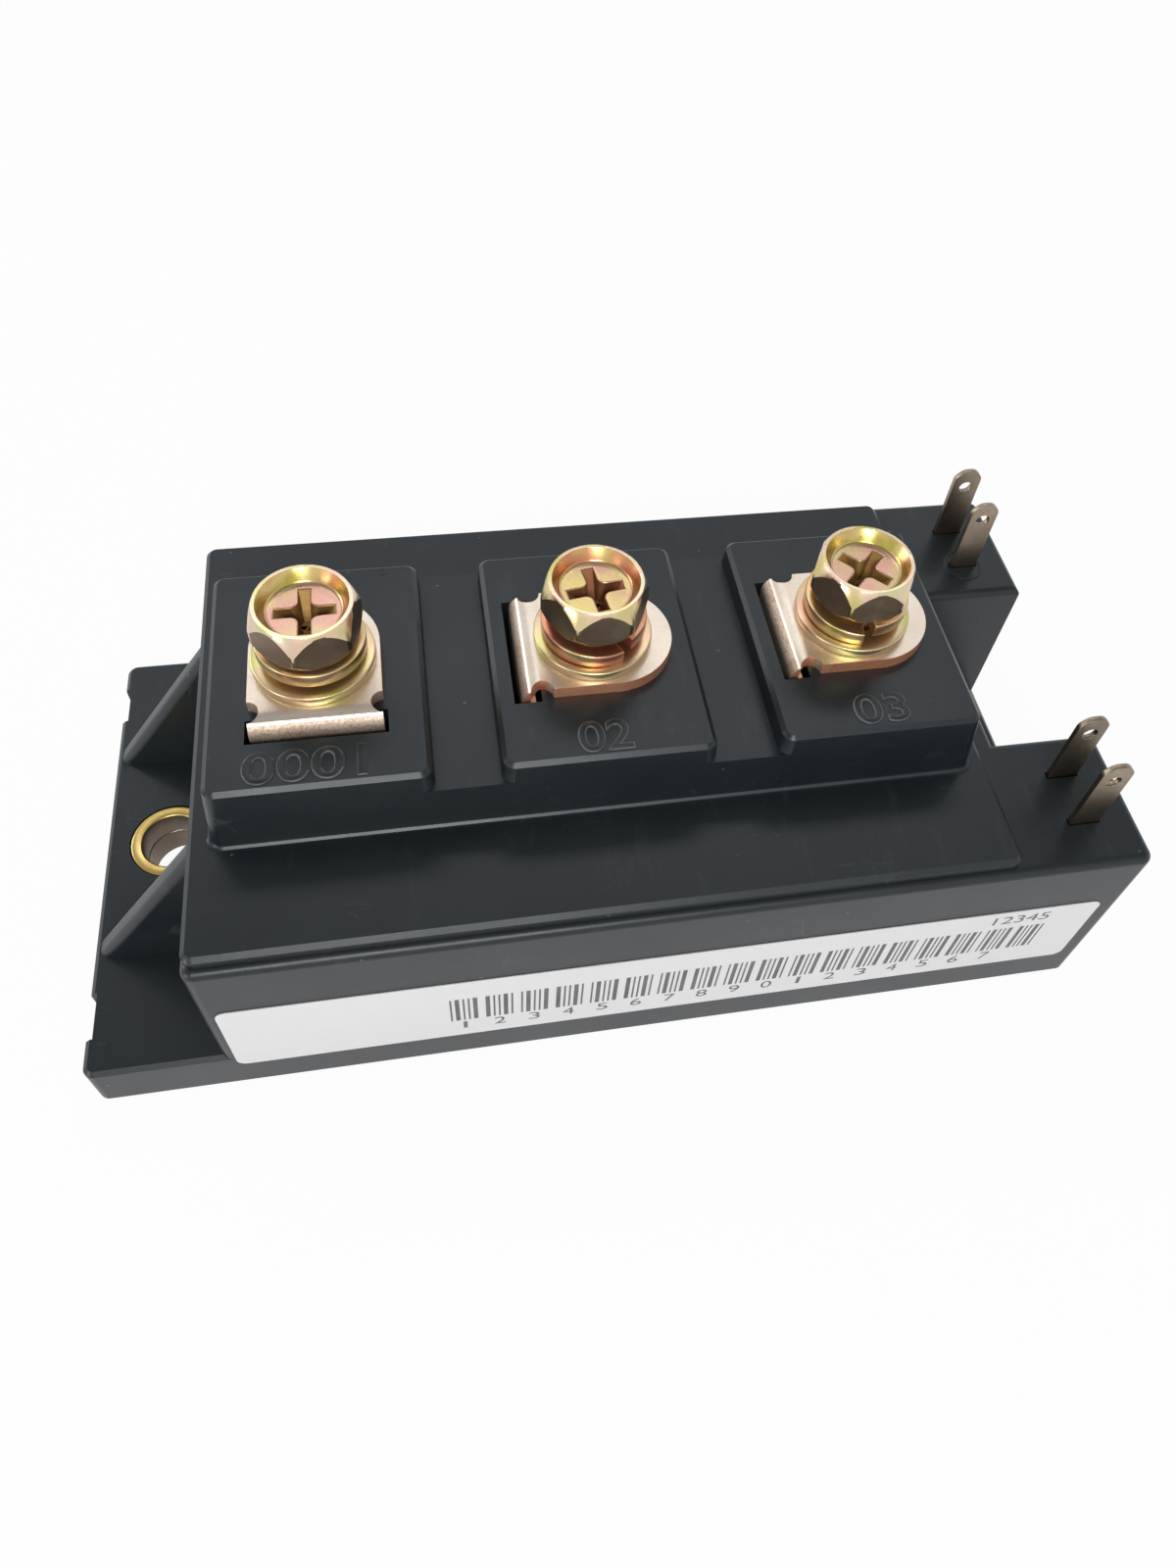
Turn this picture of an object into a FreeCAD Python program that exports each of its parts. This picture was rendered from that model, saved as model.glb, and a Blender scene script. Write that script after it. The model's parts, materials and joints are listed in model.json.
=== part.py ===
import FreeCAD, Part
import math
import os

Vector = FreeCAD.Vector
UP = Vector(0, 0, 1)

# Half-bridge transistor power module with three screw terminals.
# Millimetres. X runs along the length, Y from the labelled front to the back, Z up.
# The origin is the middle of the underside, where the module sits on its heat sink.

# Along the module, from the left end: flange, margin, three blocks with valleys between, margin, towers
left_flange_length = 11.4
left_margin = 2.7
block_width = 17.4
valley_width = 5.6
right_margin = 4.5
tower_length = 10.0

# Across the module, from the front: shoulder, block in front of and behind the screw axis, shoulder
front_shoulder = 10.8
block_front = 11.7
block_back = 11.2
back_shoulder = 11.3
tower_gap = 18.1

# Heights, each above the one before
plate_thickness = 3.0
bush_height = 2.8
wall_height = 16.3
cover_thickness = 1.2
platform_height = 4.6
block_height = 2.1

# Case moulding
case_bottom = 0.3
case_wall = 1.8
skirt_wall = 1.2
plan_corner_radius = 1.0
case_edge_radius = 0.8
flange_edge_bevel = 0.4
rib_offset = 10.0
rib_thickness = 1.2
rib_end_inset = 0.5
end_notch_inset = 5.4
end_notch_width = 4.2
end_notch_depth = 0.6
end_notch_bottom = 1.6

# Mounting holes and their bushes
hole_inset = 6.0
bush_bore = 5.6
bush_outer = 7.8
fit_clearance = 0.05

# Base plate
plate_clearance = 0.1
plate_corner_cut = 1.5

# Cover
cover_side_inset = 0.7
cover_left_inset = 0.25
cover_right_land = 2.25
cover_end_seat = 0.9
cover_edge_bevel = 0.4
cover_skirt_wall = 1.0
cover_skirt_depth = 2.4
cover_skirt_clearance = 0.15
cover_inner_wall = 1.8
cover_roof_thickness = 3.3
block_corner_radius = 1.0
block_edge_bevel = 0.35
draft_slope = 0.08

# Screws, washers and nuts, size M5
thread_diameter = 5.0
screw_length = 12.0
head_flats = 8.0
head_height = 3.6
head_chamfer_drop = 1.4
head_rim_diameter = 7.7
dish_diameter = 6.8
dish_depth = 1.2
cross_span = 4.9
cross_arm_width = 1.2
cross_depth = 2.0
nut_flats = 8.0
nut_height = 4.0
nut_bore = 5.1
nut_clearance = 0.1
relief_flats = 6.0
relief_wall = 1.2
relief_floor = 1.2
screw_tip_clearance = 0.6
flat_washer_diameter = 10.0
flat_washer_thickness = 1.0
washer_bore = 5.4
spring_washer_diameter = 8.8
spring_washer_section = 1.3
spring_washer_rise = 1.1
spring_washer_gap_angle = 9.0
# Turn of each hexagon head, cross recess and spring washer split, left to right, in degrees
head_turns = (18.0, 3.0, 1.0)
cross_turns = (0.0, 9.0, 45.0)
split_turns = (150.0, 301.0, 268.0)

# Screw terminals
terminal_thickness = 1.2
terminal_width = 10.6
terminal_leg_inset = 0.05
terminal_reach = 6.8
terminal_bend_radius = 0.5
terminal_notch_radius = 0.95
terminal_bore = 5.6
pocket_wall = 0.8
slot_outer_gap = 0.6
slot_inner_gap = 0.5
slot_end_gap = 0.35
neck_rise = 0.9
inner_leg_width = 5.0
foot_length = 2.4
foot_land = 0.5

# Signal tabs
tab_edge_distance = 4.5
tab_pitch = 4.9
tab_width = 2.8
tab_thickness = 0.5
tab_length = 8.5
tab_tip_chamfer = 0.8
tab_hole_diameter = 1.3
tab_hole_drop = 2.0
tab_slot_clearance = 0.1
lead_width = 1.4
lead_rise = 1.5

# Label on the front wall
label_left_margin = 1.2
label_right_margin = 2.2
label_bottom = 4.3
label_height = 10.9
label_thickness = 0.12

# Substrates, chips and wires
solder_thickness = 0.15
copper_thickness = 0.3
ceramic_thickness = 0.64
substrate_clearance = 1.3
substrate_gap = 2.4
copper_margin = 0.6
track_gap = 1.0
pad_length = 2.6
pad_width = 1.6
igbt_side = 9.0
diode_side = 6.5
chip_thickness = 0.3
chip_solder = 0.1
chip_gap = 0.8
chip_setback = 9.4
wire_size = 0.4
wire_loop = 1.4
wire_landing = 1.4
wire_inset = 0.8
wire_pitch = 1.8
wire_counts = {"igbt": 3, "diode": 2, "link": 3}
gel_depth = 7.5
gel_clearance = 0.05

# How far a cutting tool runs past the face that it opens
beyond = 1.0

# Places along and across that follow from the sizes above
module_length = (left_flange_length + left_margin + 3 * block_width + 2 * valley_width
                 + right_margin + tower_length)
module_width = front_shoulder + block_front + block_back + back_shoulder
half_length = module_length / 2
half_width = module_width / 2
body_left = -half_length + left_flange_length
end_wall = half_length - tower_length
hole_x = half_length - hole_inset
screw_pitch = block_width + valley_width
screw_y = -half_width + front_shoulder + block_front
screw_xs = tuple(body_left + left_margin + block_width / 2 + k * screw_pitch for k in range(3))
cover_left = body_left + cover_left_inset
cover_right = end_wall - cover_right_land
cover_half = half_width - cover_side_inset
cavity_left = body_left + case_wall
cavity_right = cover_right - cover_end_seat
cavity_half = half_width - case_wall
tower_inner = tower_gap / 2
tab_x = half_length - tower_length / 2
tab_outer = half_width - tab_edge_distance
tab_inner = tab_outer - tab_pitch
tab_ys = (-tab_outer, -tab_inner, tab_inner, tab_outer)

# Levels that follow
flange_top = plate_thickness + bush_height
case_top = flange_top + wall_height
cover_top = case_top + cover_thickness
valley_top = cover_top + platform_height
block_top = valley_top + block_height
cover_roof = valley_top - cover_roof_thickness
tower_roof = case_top - case_wall
tab_top = case_top + tab_length
gel_top = plate_thickness + gel_depth
lead_level = gel_top + lead_rise
terminal_neck = case_top + neck_rise
terminal_top = block_top + terminal_thickness
washer_top = terminal_top + flat_washer_thickness
head_bottom = washer_top + spring_washer_section + spring_washer_rise
screw_tip = head_bottom - screw_length
nut_bottom = block_top - nut_height - nut_clearance
copper_bottom = plate_thickness + solder_thickness
ceramic_bottom = copper_bottom + copper_thickness
circuit_bottom = ceramic_bottom + ceramic_thickness
circuit_top = circuit_bottom + copper_thickness
chip_bottom = circuit_top + chip_solder
chip_top = chip_bottom + chip_thickness

# The leg of a terminal stands beside the nut pocket, with a wall between them; it is as wide as the
# flat, but for a small inset that keeps its cut ends off the edges of the flat
leg_offset = nut_flats / 2 + nut_clearance + pocket_wall + slot_inner_gap + terminal_thickness
leg_half = terminal_width / 2 - terminal_leg_inset

# Two substrates share the cavity floor
substrate_length = (cavity_right - cavity_left - 2 * substrate_clearance - substrate_gap) / 2
substrate_lefts = (cavity_left + substrate_clearance, cavity_right - substrate_clearance - substrate_length)
substrate_half = cavity_half - substrate_clearance
copper_half = substrate_half - copper_margin
copper_split = screw_y - inner_leg_width / 2 - foot_land - track_gap / 2
lead_foot_x = substrate_lefts[1] + substrate_length - copper_margin - pad_length / 2


def box(x0, x1, y0, y1, z0, z1):
    return Part.makeBox(x1 - x0, y1 - y0, z1 - z0, Vector(x0, y0, z0))


def rod(x, y, z0, z1, diameter):
    return Part.makeCylinder(diameter / 2, z1 - z0, Vector(x, y, z0), UP)


def upright_edges(shape, x0, x1, y0, y1):
    """Vertical edges whose middle lies inside the plan rectangle."""
    found = []
    for edge in shape.Edges:
        ends = [v.Point for v in edge.Vertexes]
        if len(ends) == 2 and ends[0].distanceToPoint(Vector(ends[1].x, ends[1].y, ends[0].z)) < 0.001:
            if x0 < ends[0].x < x1 and y0 < ends[0].y < y1:
                found.append(edge)
    return found


def level_edges(shape, z):
    """Edges that lie wholly at one height."""
    return [e for e in shape.Edges if abs(e.BoundBox.ZMin - z) < 0.001 and abs(e.BoundBox.ZMax - z) < 0.001]


def rounded_plate(x0, x1, y0, y1, z0, z1, radius):
    plate = box(x0, x1, y0, y1, z0, z1)
    return plate.makeFillet(radius, upright_edges(plate, x0 - beyond, x1 + beyond, y0 - beyond, y1 + beyond))


def cut_corner_plate(half_x, half_y, z0, z1, cut):
    """Centred plate with its four corners cut at 45 degrees."""
    points = []
    for sx, sy in ((1, -1), (1, 1), (-1, 1), (-1, -1)):
        pair = [(sx * (half_x - cut), sy * half_y, z0), (sx * half_x, sy * (half_y - cut), z0)]
        points += pair if sx * sy < 0 else pair[::-1]
    return profile_prism(points, (0, 0, z1 - z0))


def drafted_block(x0, x1, y0, y1, z0, z1, radius):
    """Block given by its outline at z1, spreading by the draft towards z0, with round upright corners."""
    spread = draft_slope * (z1 - z0)
    height = z1 - z0
    block = Part.makeWedge(x0 - spread, 0, -y1 - spread, -y1, x0, x1 + spread, height, -y0 + spread, -y0, x1)
    block.rotate(Vector(0, 0, 0), Vector(1, 0, 0), 90)
    block.translate(Vector(0, 0, z0))
    corners = [e for e in block.Edges if e.BoundBox.ZLength > height - 0.001]
    return block.makeFillet(radius, corners)


def hexagon(x, y, z, flats, height, turn):
    """Hexagonal prism; at turn 0 one flat faces the front."""
    radius = flats / math.sqrt(3)
    angles = [math.radians(60 * k + turn) for k in range(7)]
    points = [Vector(x + radius * math.cos(a), y + radius * math.sin(a), z) for a in angles]
    return Part.Face(Part.makePolygon(points)).extrude(Vector(0, 0, height))


def profile_prism(points, direction):
    """Prism over a closed polygon."""
    corners = [Vector(*p) for p in points]
    return Part.Face(Part.makePolygon(corners + corners[:1])).extrude(Vector(*direction))


def make_case_frame():
    """One moulding: screw flanges, four walls, two tab towers and two gusset ribs."""
    outer = rounded_plate(-half_length, half_length, -half_width, half_width,
                          case_bottom, flange_top, plan_corner_radius)
    outer = outer.makeChamfer(flange_edge_bevel, level_edges(outer, flange_top))
    body = box(body_left, end_wall, -half_width, half_width, case_bottom, case_top)
    for side in (-1, 1):
        y0, y1 = sorted((side * tower_inner, side * half_width))
        body = body.fuse(box(end_wall, half_length, y0, y1, case_bottom, case_top))
    body = body.removeSplitter()
    corners = []
    for y in (-half_width, half_width):
        corners += upright_edges(body, -half_length, half_length + beyond, y - beyond, y + beyond)
    body = body.makeFillet(plan_corner_radius, corners)
    body = body.makeFillet(case_edge_radius, level_edges(body, case_top))
    shell = outer.fuse(body)
    # gusset ribs from the left wall down to the flange
    for side in (-1, 1):
        y = side * rib_offset - rib_thickness / 2
        low_x = -half_length + rib_end_inset
        wall_x = body_left + case_wall / 2
        rib_top = case_top - case_edge_radius
        points = [(low_x, y, flange_top - flange_edge_bevel), (low_x, y, flange_top), (body_left, y, rib_top),
                  (wall_x, y, rib_top), (wall_x, y, flange_top - flange_edge_bevel)]
        shell = shell.fuse(profile_prism(points, (0, rib_thickness, 0)))
    shell = shell.removeSplitter()
    # room for the base plate, then the cavity above it
    pocket_x = half_length - skirt_wall
    pocket_y = half_width - skirt_wall
    cuts = [cut_corner_plate(pocket_x, pocket_y, case_bottom - beyond, plate_thickness, plate_corner_cut),
            box(cavity_left, cavity_right, -cavity_half, cavity_half,
                plate_thickness - beyond, case_top + beyond)]
    for side in (-1, 1):
        y0, y1 = sorted((side * (tower_inner + case_wall), side * cavity_half))
        cuts.append(box(cavity_right - beyond, half_length - case_wall, y0, y1,
                        plate_thickness - beyond, tower_roof))
        cuts.append(rod(side * hole_x, 0, plate_thickness - beyond, flange_top + beyond,
                        bush_outer + 2 * fit_clearance))
        # shallow notches in the free end of the flange
        y = side * (half_width - end_notch_inset)
        cuts.append(box(-half_length - beyond, -half_length + end_notch_depth,
                        y - end_notch_width / 2, y + end_notch_width / 2,
                        end_notch_bottom, flange_top + beyond))
    slot_x = tab_width / 2 + tab_slot_clearance
    slot_y = tab_thickness / 2 + tab_slot_clearance
    for y in tab_ys:
        cuts.append(box(tab_x - slot_x, tab_x + slot_x, y - slot_y, y + slot_y,
                        tower_roof - beyond, case_top + beyond))
    return shell.cut(Part.makeCompound(cuts))


def make_base_plate():
    """Copper plate that spreads the heat, drilled under both bushes."""
    reach_x = half_length - skirt_wall - plate_clearance
    reach_y = half_width - skirt_wall - plate_clearance
    plate = cut_corner_plate(reach_x, reach_y, 0, plate_thickness, plate_corner_cut)
    for side in (-1, 1):
        plate = plate.cut(rod(side * hole_x, 0, -beyond, plate_thickness + beyond, bush_bore))
    return plate


def make_bush(side):
    """Metal sleeve that takes the clamping force of the mounting screw."""
    ring = rod(side * hole_x, 0, plate_thickness, flange_top, bush_outer)
    return ring.cut(rod(side * hole_x, 0, 0, flange_top + beyond, bush_bore))


def cover_body():
    """Outside of the cover: shoulder, platform and three terminal blocks."""
    body = rounded_plate(cover_left, cover_right, -cover_half, cover_half,
                         case_top, cover_top, plan_corner_radius)
    body = body.makeChamfer(cover_edge_bevel, level_edges(body, cover_top))
    left = screw_xs[0] - block_width / 2
    right = screw_xs[-1] + block_width / 2
    front = screw_y - block_front
    back = screw_y + block_back
    spread = draft_slope * block_height
    raised = drafted_block(left - spread, right + spread, front - spread, back + spread,
                           cover_top, valley_top, block_corner_radius + spread)
    for x in screw_xs:
        raised = raised.fuse(drafted_block(x - block_width / 2, x + block_width / 2, front, back,
                                           cover_top, block_top, block_corner_radius))
    raised = raised.removeSplitter()
    raised = raised.makeChamfer(block_edge_bevel, level_edges(raised, block_top))
    return body.fuse(raised).removeSplitter()


def at_terminal(shape, index):
    """Bring a shape drawn round a screw axis, with the leg on the left, to its real place."""
    if index == 0:
        shape.rotate(Vector(0, 0, 0), UP, 90)
    shape.translate(Vector(screw_xs[index], screw_y, 0))
    return shape


def hexagon_at(index, z0, flats, z1):
    """Hexagonal prism on a screw axis, with a flat towards the leg of that terminal."""
    return at_terminal(hexagon(0, 0, z0, flats, z1 - z0, 30), index)


def slot_tool(index):
    """Opening through a block for the leg of its terminal."""
    half = leg_half + slot_end_gap
    x0 = -leg_offset - slot_outer_gap
    x1 = -leg_offset + terminal_thickness + slot_inner_gap
    return at_terminal(box(x0, x1, -half, half, case_top - beyond, block_top + beyond), index)


def make_cover():
    """Lid with its hollow underside, nut pockets, screw wells and terminal slots."""
    cover = cover_body()
    # locating skirt inside the case walls
    skirt_left = cavity_left + cover_skirt_clearance
    skirt_right = cavity_right - cover_skirt_clearance
    skirt_half = cavity_half - cover_skirt_clearance
    wall = cover_skirt_wall
    skirt_bottom = case_top - cover_skirt_depth
    skirt = box(skirt_left, skirt_right, -skirt_half, skirt_half, skirt_bottom, case_top)
    skirt = skirt.cut(box(skirt_left + wall, skirt_right - wall, -skirt_half + wall, skirt_half - wall,
                          skirt_bottom - beyond, case_top + beyond))
    cover = cover.fuse(skirt)
    wall = cover_inner_wall
    hollow_left = screw_xs[0] - block_width / 2 + wall
    hollow_right = screw_xs[-1] + block_width / 2 - wall
    hollow_front = screw_y - block_front + wall
    hollow_back = screw_y + block_back - wall
    cover = cover.cut(box(hollow_left, hollow_right, hollow_front, hollow_back,
                          case_top - beyond, cover_roof))
    relief_bottom = screw_tip - screw_tip_clearance
    half = relief_flats / 2 + relief_wall
    for x in screw_xs:
        cover = cover.fuse(box(x - half, x + half, screw_y - half, screw_y + half,
                               relief_bottom - relief_floor, cover_roof))
    for index in range(len(screw_xs)):
        pocket = hexagon_at(index, nut_bottom, nut_flats + 2 * nut_clearance, block_top + beyond)
        relief = hexagon_at(index, relief_bottom, relief_flats, nut_bottom + beyond)
        cover = cover.cut(pocket.fuse(relief)).cut(slot_tool(index))
    return cover


def make_terminal(index):
    """Bent copper strip: a screwed flat with a round end, a notched bend and a leg to the substrate."""
    t = terminal_thickness
    half = terminal_width / 2
    inner_half = inner_leg_width / 2
    leg_x = -leg_offset
    outer = terminal_bend_radius + t
    bend_x = leg_x + outer
    flat_end = terminal_reach - half
    top = block_top + t
    flat = box(bend_x, flat_end, -half, half, block_top, top)
    flat = flat.fuse(rod(flat_end, 0, block_top, top, terminal_width))
    # the bend is a quarter ring, and the leg drops from it
    centre = Vector(bend_x, -leg_half, top - outer)
    bend = Part.makeCylinder(outer, 2 * leg_half, centre, Vector(0, 1, 0))
    bend = bend.cut(Part.makeCylinder(terminal_bend_radius, 2 * leg_half, centre, Vector(0, 1, 0)))
    bend = bend.common(box(leg_x, bend_x, -leg_half, leg_half, top - outer, top))
    terminal = flat.fuse(bend)
    terminal = terminal.fuse(box(leg_x, leg_x + t, -leg_half, leg_half, terminal_neck, top - outer))
    terminal = terminal.fuse(box(leg_x, leg_x + t, -inner_half, inner_half, circuit_top, terminal_neck))
    foot = box(leg_x, leg_x + foot_length, -inner_half, inner_half, circuit_top, circuit_top + t)
    terminal = terminal.fuse(foot)
    for side in (-1, 1):
        notch = rod(bend_x, side * half, top - outer, top + beyond, 2 * terminal_notch_radius)
        terminal = terminal.cut(notch)
    terminal = terminal.cut(rod(0, 0, block_top - beyond, top + beyond, terminal_bore))
    return at_terminal(terminal.removeSplitter(), index)


def make_nut(index):
    nut = hexagon_at(index, nut_bottom, nut_flats, nut_bottom + nut_height)
    return nut.cut(rod(screw_xs[index], screw_y, nut_bottom - beyond, block_top + beyond, nut_bore))


def make_flat_washer(index):
    x = screw_xs[index]
    ring = rod(x, screw_y, terminal_top, washer_top, flat_washer_diameter)
    return ring.cut(rod(x, screw_y, terminal_top - beyond, washer_top + beyond, washer_bore))


def make_spring_washer(index):
    """Split ring sprung open: its two halves lean apart from the side opposite the split."""
    inner = washer_bore / 2
    outer = spring_washer_diameter / 2
    middle = (inner + outer) / 2
    lean = math.degrees(math.atan(spring_washer_rise / 2 / (middle + outer)))
    half_turn = 180.0 - spring_washer_gap_angle / 2
    level = washer_top + spring_washer_rise / 2
    halves = []
    for side in (-1, 1):
        ring = Part.makeCylinder(outer, spring_washer_section, Vector(0, 0, 0), UP, half_turn)
        ring = ring.cut(Part.makeCylinder(inner, spring_washer_section, Vector(0, 0, 0), UP, half_turn))
        # one half runs from the split to the far side, the other from there back to the split
        ring.rotate(Vector(0, 0, 0), UP, 180.0 - half_turn if side < 0 else 180.0)
        ring.rotate(Vector(-middle, 0, 0), Vector(0, 1, 0), side * lean)
        halves.append(ring)
    washer = halves[0].fuse(halves[1])
    washer.rotate(Vector(0, 0, 0), UP, split_turns[index])
    washer.translate(Vector(screw_xs[index], screw_y, level))
    return washer


def cross_recess(x, top, turn):
    """Cross-shaped driver recess that narrows towards its bottom."""
    arms = []
    for quarter in (0, 90):
        wide = cross_span / 2
        narrow = cross_arm_width / 2
        points = [(-wide, -narrow, top), (wide, -narrow, top),
                  (narrow, -narrow, top - cross_depth), (-narrow, -narrow, top - cross_depth)]
        arm = profile_prism(points, (0, 2 * narrow, 0))
        arm.rotate(Vector(0, 0, 0), UP, quarter + turn)
        arm.translate(Vector(x, screw_y, 0))
        arms.append(arm)
    return arms[0].fuse(arms[1])


def make_screw(index):
    """Hexagon head screw with a dished top and a cross recess; the thread is plain."""
    x = screw_xs[index]
    top = head_bottom + head_height
    corner_radius = head_flats / math.sqrt(3)
    rim_radius = head_rim_diameter / 2
    head = hexagon(x, screw_y, head_bottom, head_flats, head_height, head_turns[index])
    # a cone twice as wide as the head takes the tips of its corners off
    slope = head_chamfer_drop / (corner_radius - rim_radius)
    drop = slope * (2 * corner_radius - rim_radius)
    head = head.common(Part.makeCone(2 * corner_radius, rim_radius, drop, Vector(x, screw_y, top - drop), UP))
    floor = top - dish_depth
    head = head.cut(rod(x, screw_y, floor, top + beyond, dish_diameter))
    screw = head.fuse(rod(x, screw_y, screw_tip, head_bottom, thread_diameter)).removeSplitter()
    return screw.cut(cross_recess(x, floor, cross_turns[index]))


def make_signal_tab(index):
    """Push-on tab whose lead runs inside the case to its pad on the right substrate."""
    y = tab_ys[index] - tab_thickness / 2
    half = tab_width / 2
    c = tab_tip_chamfer
    x0, x1 = tab_x - half, tab_x + half
    lead_left, lead_right = tab_x - lead_width / 2, tab_x + lead_width / 2
    foot_left, foot_right = lead_foot_x - lead_width / 2, lead_foot_x + lead_width / 2
    # round the outline from the left shoulder, down the lead to its foot and back
    points = [(x0, y, tower_roof), (x0, y, tab_top - c), (x0 + c, y, tab_top),
              (x1 - c, y, tab_top), (x1, y, tab_top - c), (x1, y, tower_roof),
              (lead_right, y, tower_roof), (lead_right, y, lead_level), (foot_right, y, lead_level),
              (foot_right, y, circuit_top), (foot_left, y, circuit_top),
              (foot_left, y, lead_level + lead_width), (lead_left, y, lead_level + lead_width),
              (lead_left, y, tower_roof)]
    tab = profile_prism(points, (0, tab_thickness, 0))
    start = Vector(tab_x, y - beyond, tab_top - tab_hole_drop)
    depth = tab_thickness + 2 * beyond
    return tab.cut(Part.makeCylinder(tab_hole_diameter / 2, depth, start, Vector(0, 1, 0)))


def make_label():
    return box(body_left + label_left_margin, half_length - label_right_margin,
               -half_width - label_thickness, -half_width, label_bottom, label_bottom + label_height)


def substrate_slab(side, margin, z0, z1):
    left = substrate_lefts[side] + margin
    right = substrate_lefts[side] + substrate_length - margin
    half = substrate_half - margin
    return box(left, right, -half, half, z0, z1)


def circuit_tracks(side):
    """Copper areas of one substrate, front then back, and the signal pads of the right one."""
    left = substrate_lefts[side] + copper_margin
    right = substrate_lefts[side] + substrate_length - copper_margin
    pads = []
    if side == 1:
        pads = [(right - pad_length, right, y - pad_width / 2, y + pad_width / 2) for y in tab_ys]
        right -= pad_length + track_gap
    front = (left, right, -copper_half, copper_split - track_gap / 2)
    back = (left, right, copper_split + track_gap / 2, copper_half)
    return [front, back] + pads


def make_circuit(side):
    """Etched copper areas on top of one substrate, as separate solids."""
    return [box(*area, circuit_bottom, circuit_top) for area in circuit_tracks(side)]


def chip_places(side):
    """Centre and side of the transistor and the diode, clear of the terminal foot beside them."""
    if side == 0:
        y = copper_split - chip_setback
        igbt_x = screw_xs[0] + inner_leg_width / 2 + chip_gap + igbt_side / 2
        diode_x = igbt_x + igbt_side / 2 + chip_gap + diode_side / 2
    else:
        y = copper_split + chip_setback
        leg_x = screw_xs[-1] - leg_offset
        igbt_x = leg_x - chip_gap - igbt_side / 2
        diode_x = leg_x + foot_length + chip_gap + diode_side / 2
    return {"igbt": (igbt_x, y, igbt_side), "diode": (diode_x, y, diode_side)}


def make_chip(side, kind):
    x, y, size = chip_places(side)[kind]
    return box(x - size / 2, x + size / 2, y - size / 2, y + size / 2, chip_bottom, chip_top)


def make_chip_solder(side):
    """Solder under the transistor and under the diode."""
    layers = []
    for x, y, size in chip_places(side).values():
        layers.append(box(x - size / 2, x + size / 2, y - size / 2, y + size / 2, circuit_top, chip_bottom))
    return layers


def bond_wire(x, y, z0, span, z1, turn):
    """Wire from (x, y, z0) over a loop to a landing at z1; at turn 0 it runs towards the back."""
    s = wire_size
    rise = max(z0, z1) + wire_loop
    points = [(-s / 2, 0, z0), (-s / 2, s, z0), (-s / 2, span / 2, rise - s),
              (-s / 2, span - s, z1), (-s / 2, span, z1), (-s / 2, span / 2, rise)]
    wire = profile_prism(points, (s, 0, 0))
    wire.rotate(Vector(0, 0, 0), UP, turn)
    wire.translate(Vector(x, y, 0))
    return wire


def make_bond_wires(side):
    """Aluminium wires from both chips to the other copper area; the right set also links the substrates."""
    heading = 1 if side == 0 else -1
    landing = copper_split + heading * (track_gap / 2 + wire_landing)
    wires = []
    for kind, (x, y, size) in chip_places(side).items():
        start = y + heading * size / 4
        for k in range(wire_counts[kind]):
            wire_x = x - size / 2 + wire_inset + k * wire_pitch
            span = abs(landing - start)
            wires.append(bond_wire(wire_x, start, chip_top, span, circuit_top, 90 - 90 * heading))
    if side == 1:
        start = circuit_tracks(0)[0][1] - wire_landing
        span = circuit_tracks(1)[0][0] + wire_landing - start
        for k in range(wire_counts["link"]):
            y = copper_split - track_gap / 2 - wire_inset - k * wire_pitch
            wires.append(bond_wire(start, y, circuit_top, span, circuit_top, -90))
    return wires


def make_gel(others):
    """Soft gel poured round everything that stands on the base plate."""
    g = gel_clearance
    gel = box(cavity_left + g, cavity_right - g, -cavity_half + g, cavity_half - g, plate_thickness, gel_top)
    for side in (-1, 1):
        y0, y1 = sorted((side * (tower_inner + case_wall + g), side * (cavity_half - g)))
        gel = gel.fuse(box(cavity_right - beyond, half_length - case_wall - g, y0, y1,
                           plate_thickness, gel_top))
    return gel.removeSplitter().cut(Part.makeCompound(others))


def build_all():
    """Every node by name, each a list of solids."""
    nodes = {"case_frame": [make_case_frame()], "cover": [make_cover()], "base_plate": [make_base_plate()],
             "mounting_bush_left": [make_bush(-1)], "mounting_bush_right": [make_bush(1)],
             "label": [make_label()]}
    inner = []
    for index in range(len(screw_xs)):
        number = str(index + 1)
        nodes["main_terminal_" + number] = [make_terminal(index)]
        nodes["terminal_nut_" + number] = [make_nut(index)]
        nodes["flat_washer_" + number] = [make_flat_washer(index)]
        nodes["spring_washer_" + number] = [make_spring_washer(index)]
        nodes["terminal_screw_" + number] = [make_screw(index)]
        inner += nodes["main_terminal_" + number]
    for index in range(len(tab_ys)):
        nodes["signal_tab_" + str(index + 1)] = [make_signal_tab(index)]
        inner += nodes["signal_tab_" + str(index + 1)]
    for side, name in enumerate(("left", "right")):
        solder = substrate_slab(side, copper_margin, plate_thickness, copper_bottom)
        backing = substrate_slab(side, copper_margin, copper_bottom, ceramic_bottom)
        layers = {"substrate_solder_" + name: [solder],
                  "substrate_backing_" + name: [backing],
                  "ceramic_substrate_" + name: [substrate_slab(side, 0, ceramic_bottom, circuit_bottom)],
                  "copper_circuit_" + name: make_circuit(side),
                  "chip_solder_" + name: make_chip_solder(side),
                  "igbt_chip_" + name: [make_chip(side, "igbt")],
                  "diode_chip_" + name: [make_chip(side, "diode")],
                  "bond_wires_" + name: make_bond_wires(side)}
        for solids in layers.values():
            inner += solids
        nodes.update(layers)
    nodes["silicone_gel"] = [make_gel(inner)]
    return nodes


os.makedirs("parts", exist_ok=True)
for node, solids in build_all().items():
    shape = solids[0] if len(solids) == 1 else Part.makeCompound(solids)
    shape.exportStep("parts/" + node + ".step")
    print(node, len(shape.Solids), "solids", round(shape.Volume, 2), "mm3, valid:", shape.isValid())
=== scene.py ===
# %% [markdown]
# A half-bridge power module, dressed for its portrait.
# The construction came first: every solid of the module is loaded here as a fixed frame, in metres,
# with +Z up. This lesson gives each of them the finish of the real thing, and makes again in finer
# detail the pieces that the eye rests on: screws, washers, terminal strips, tabs and the label.

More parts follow.
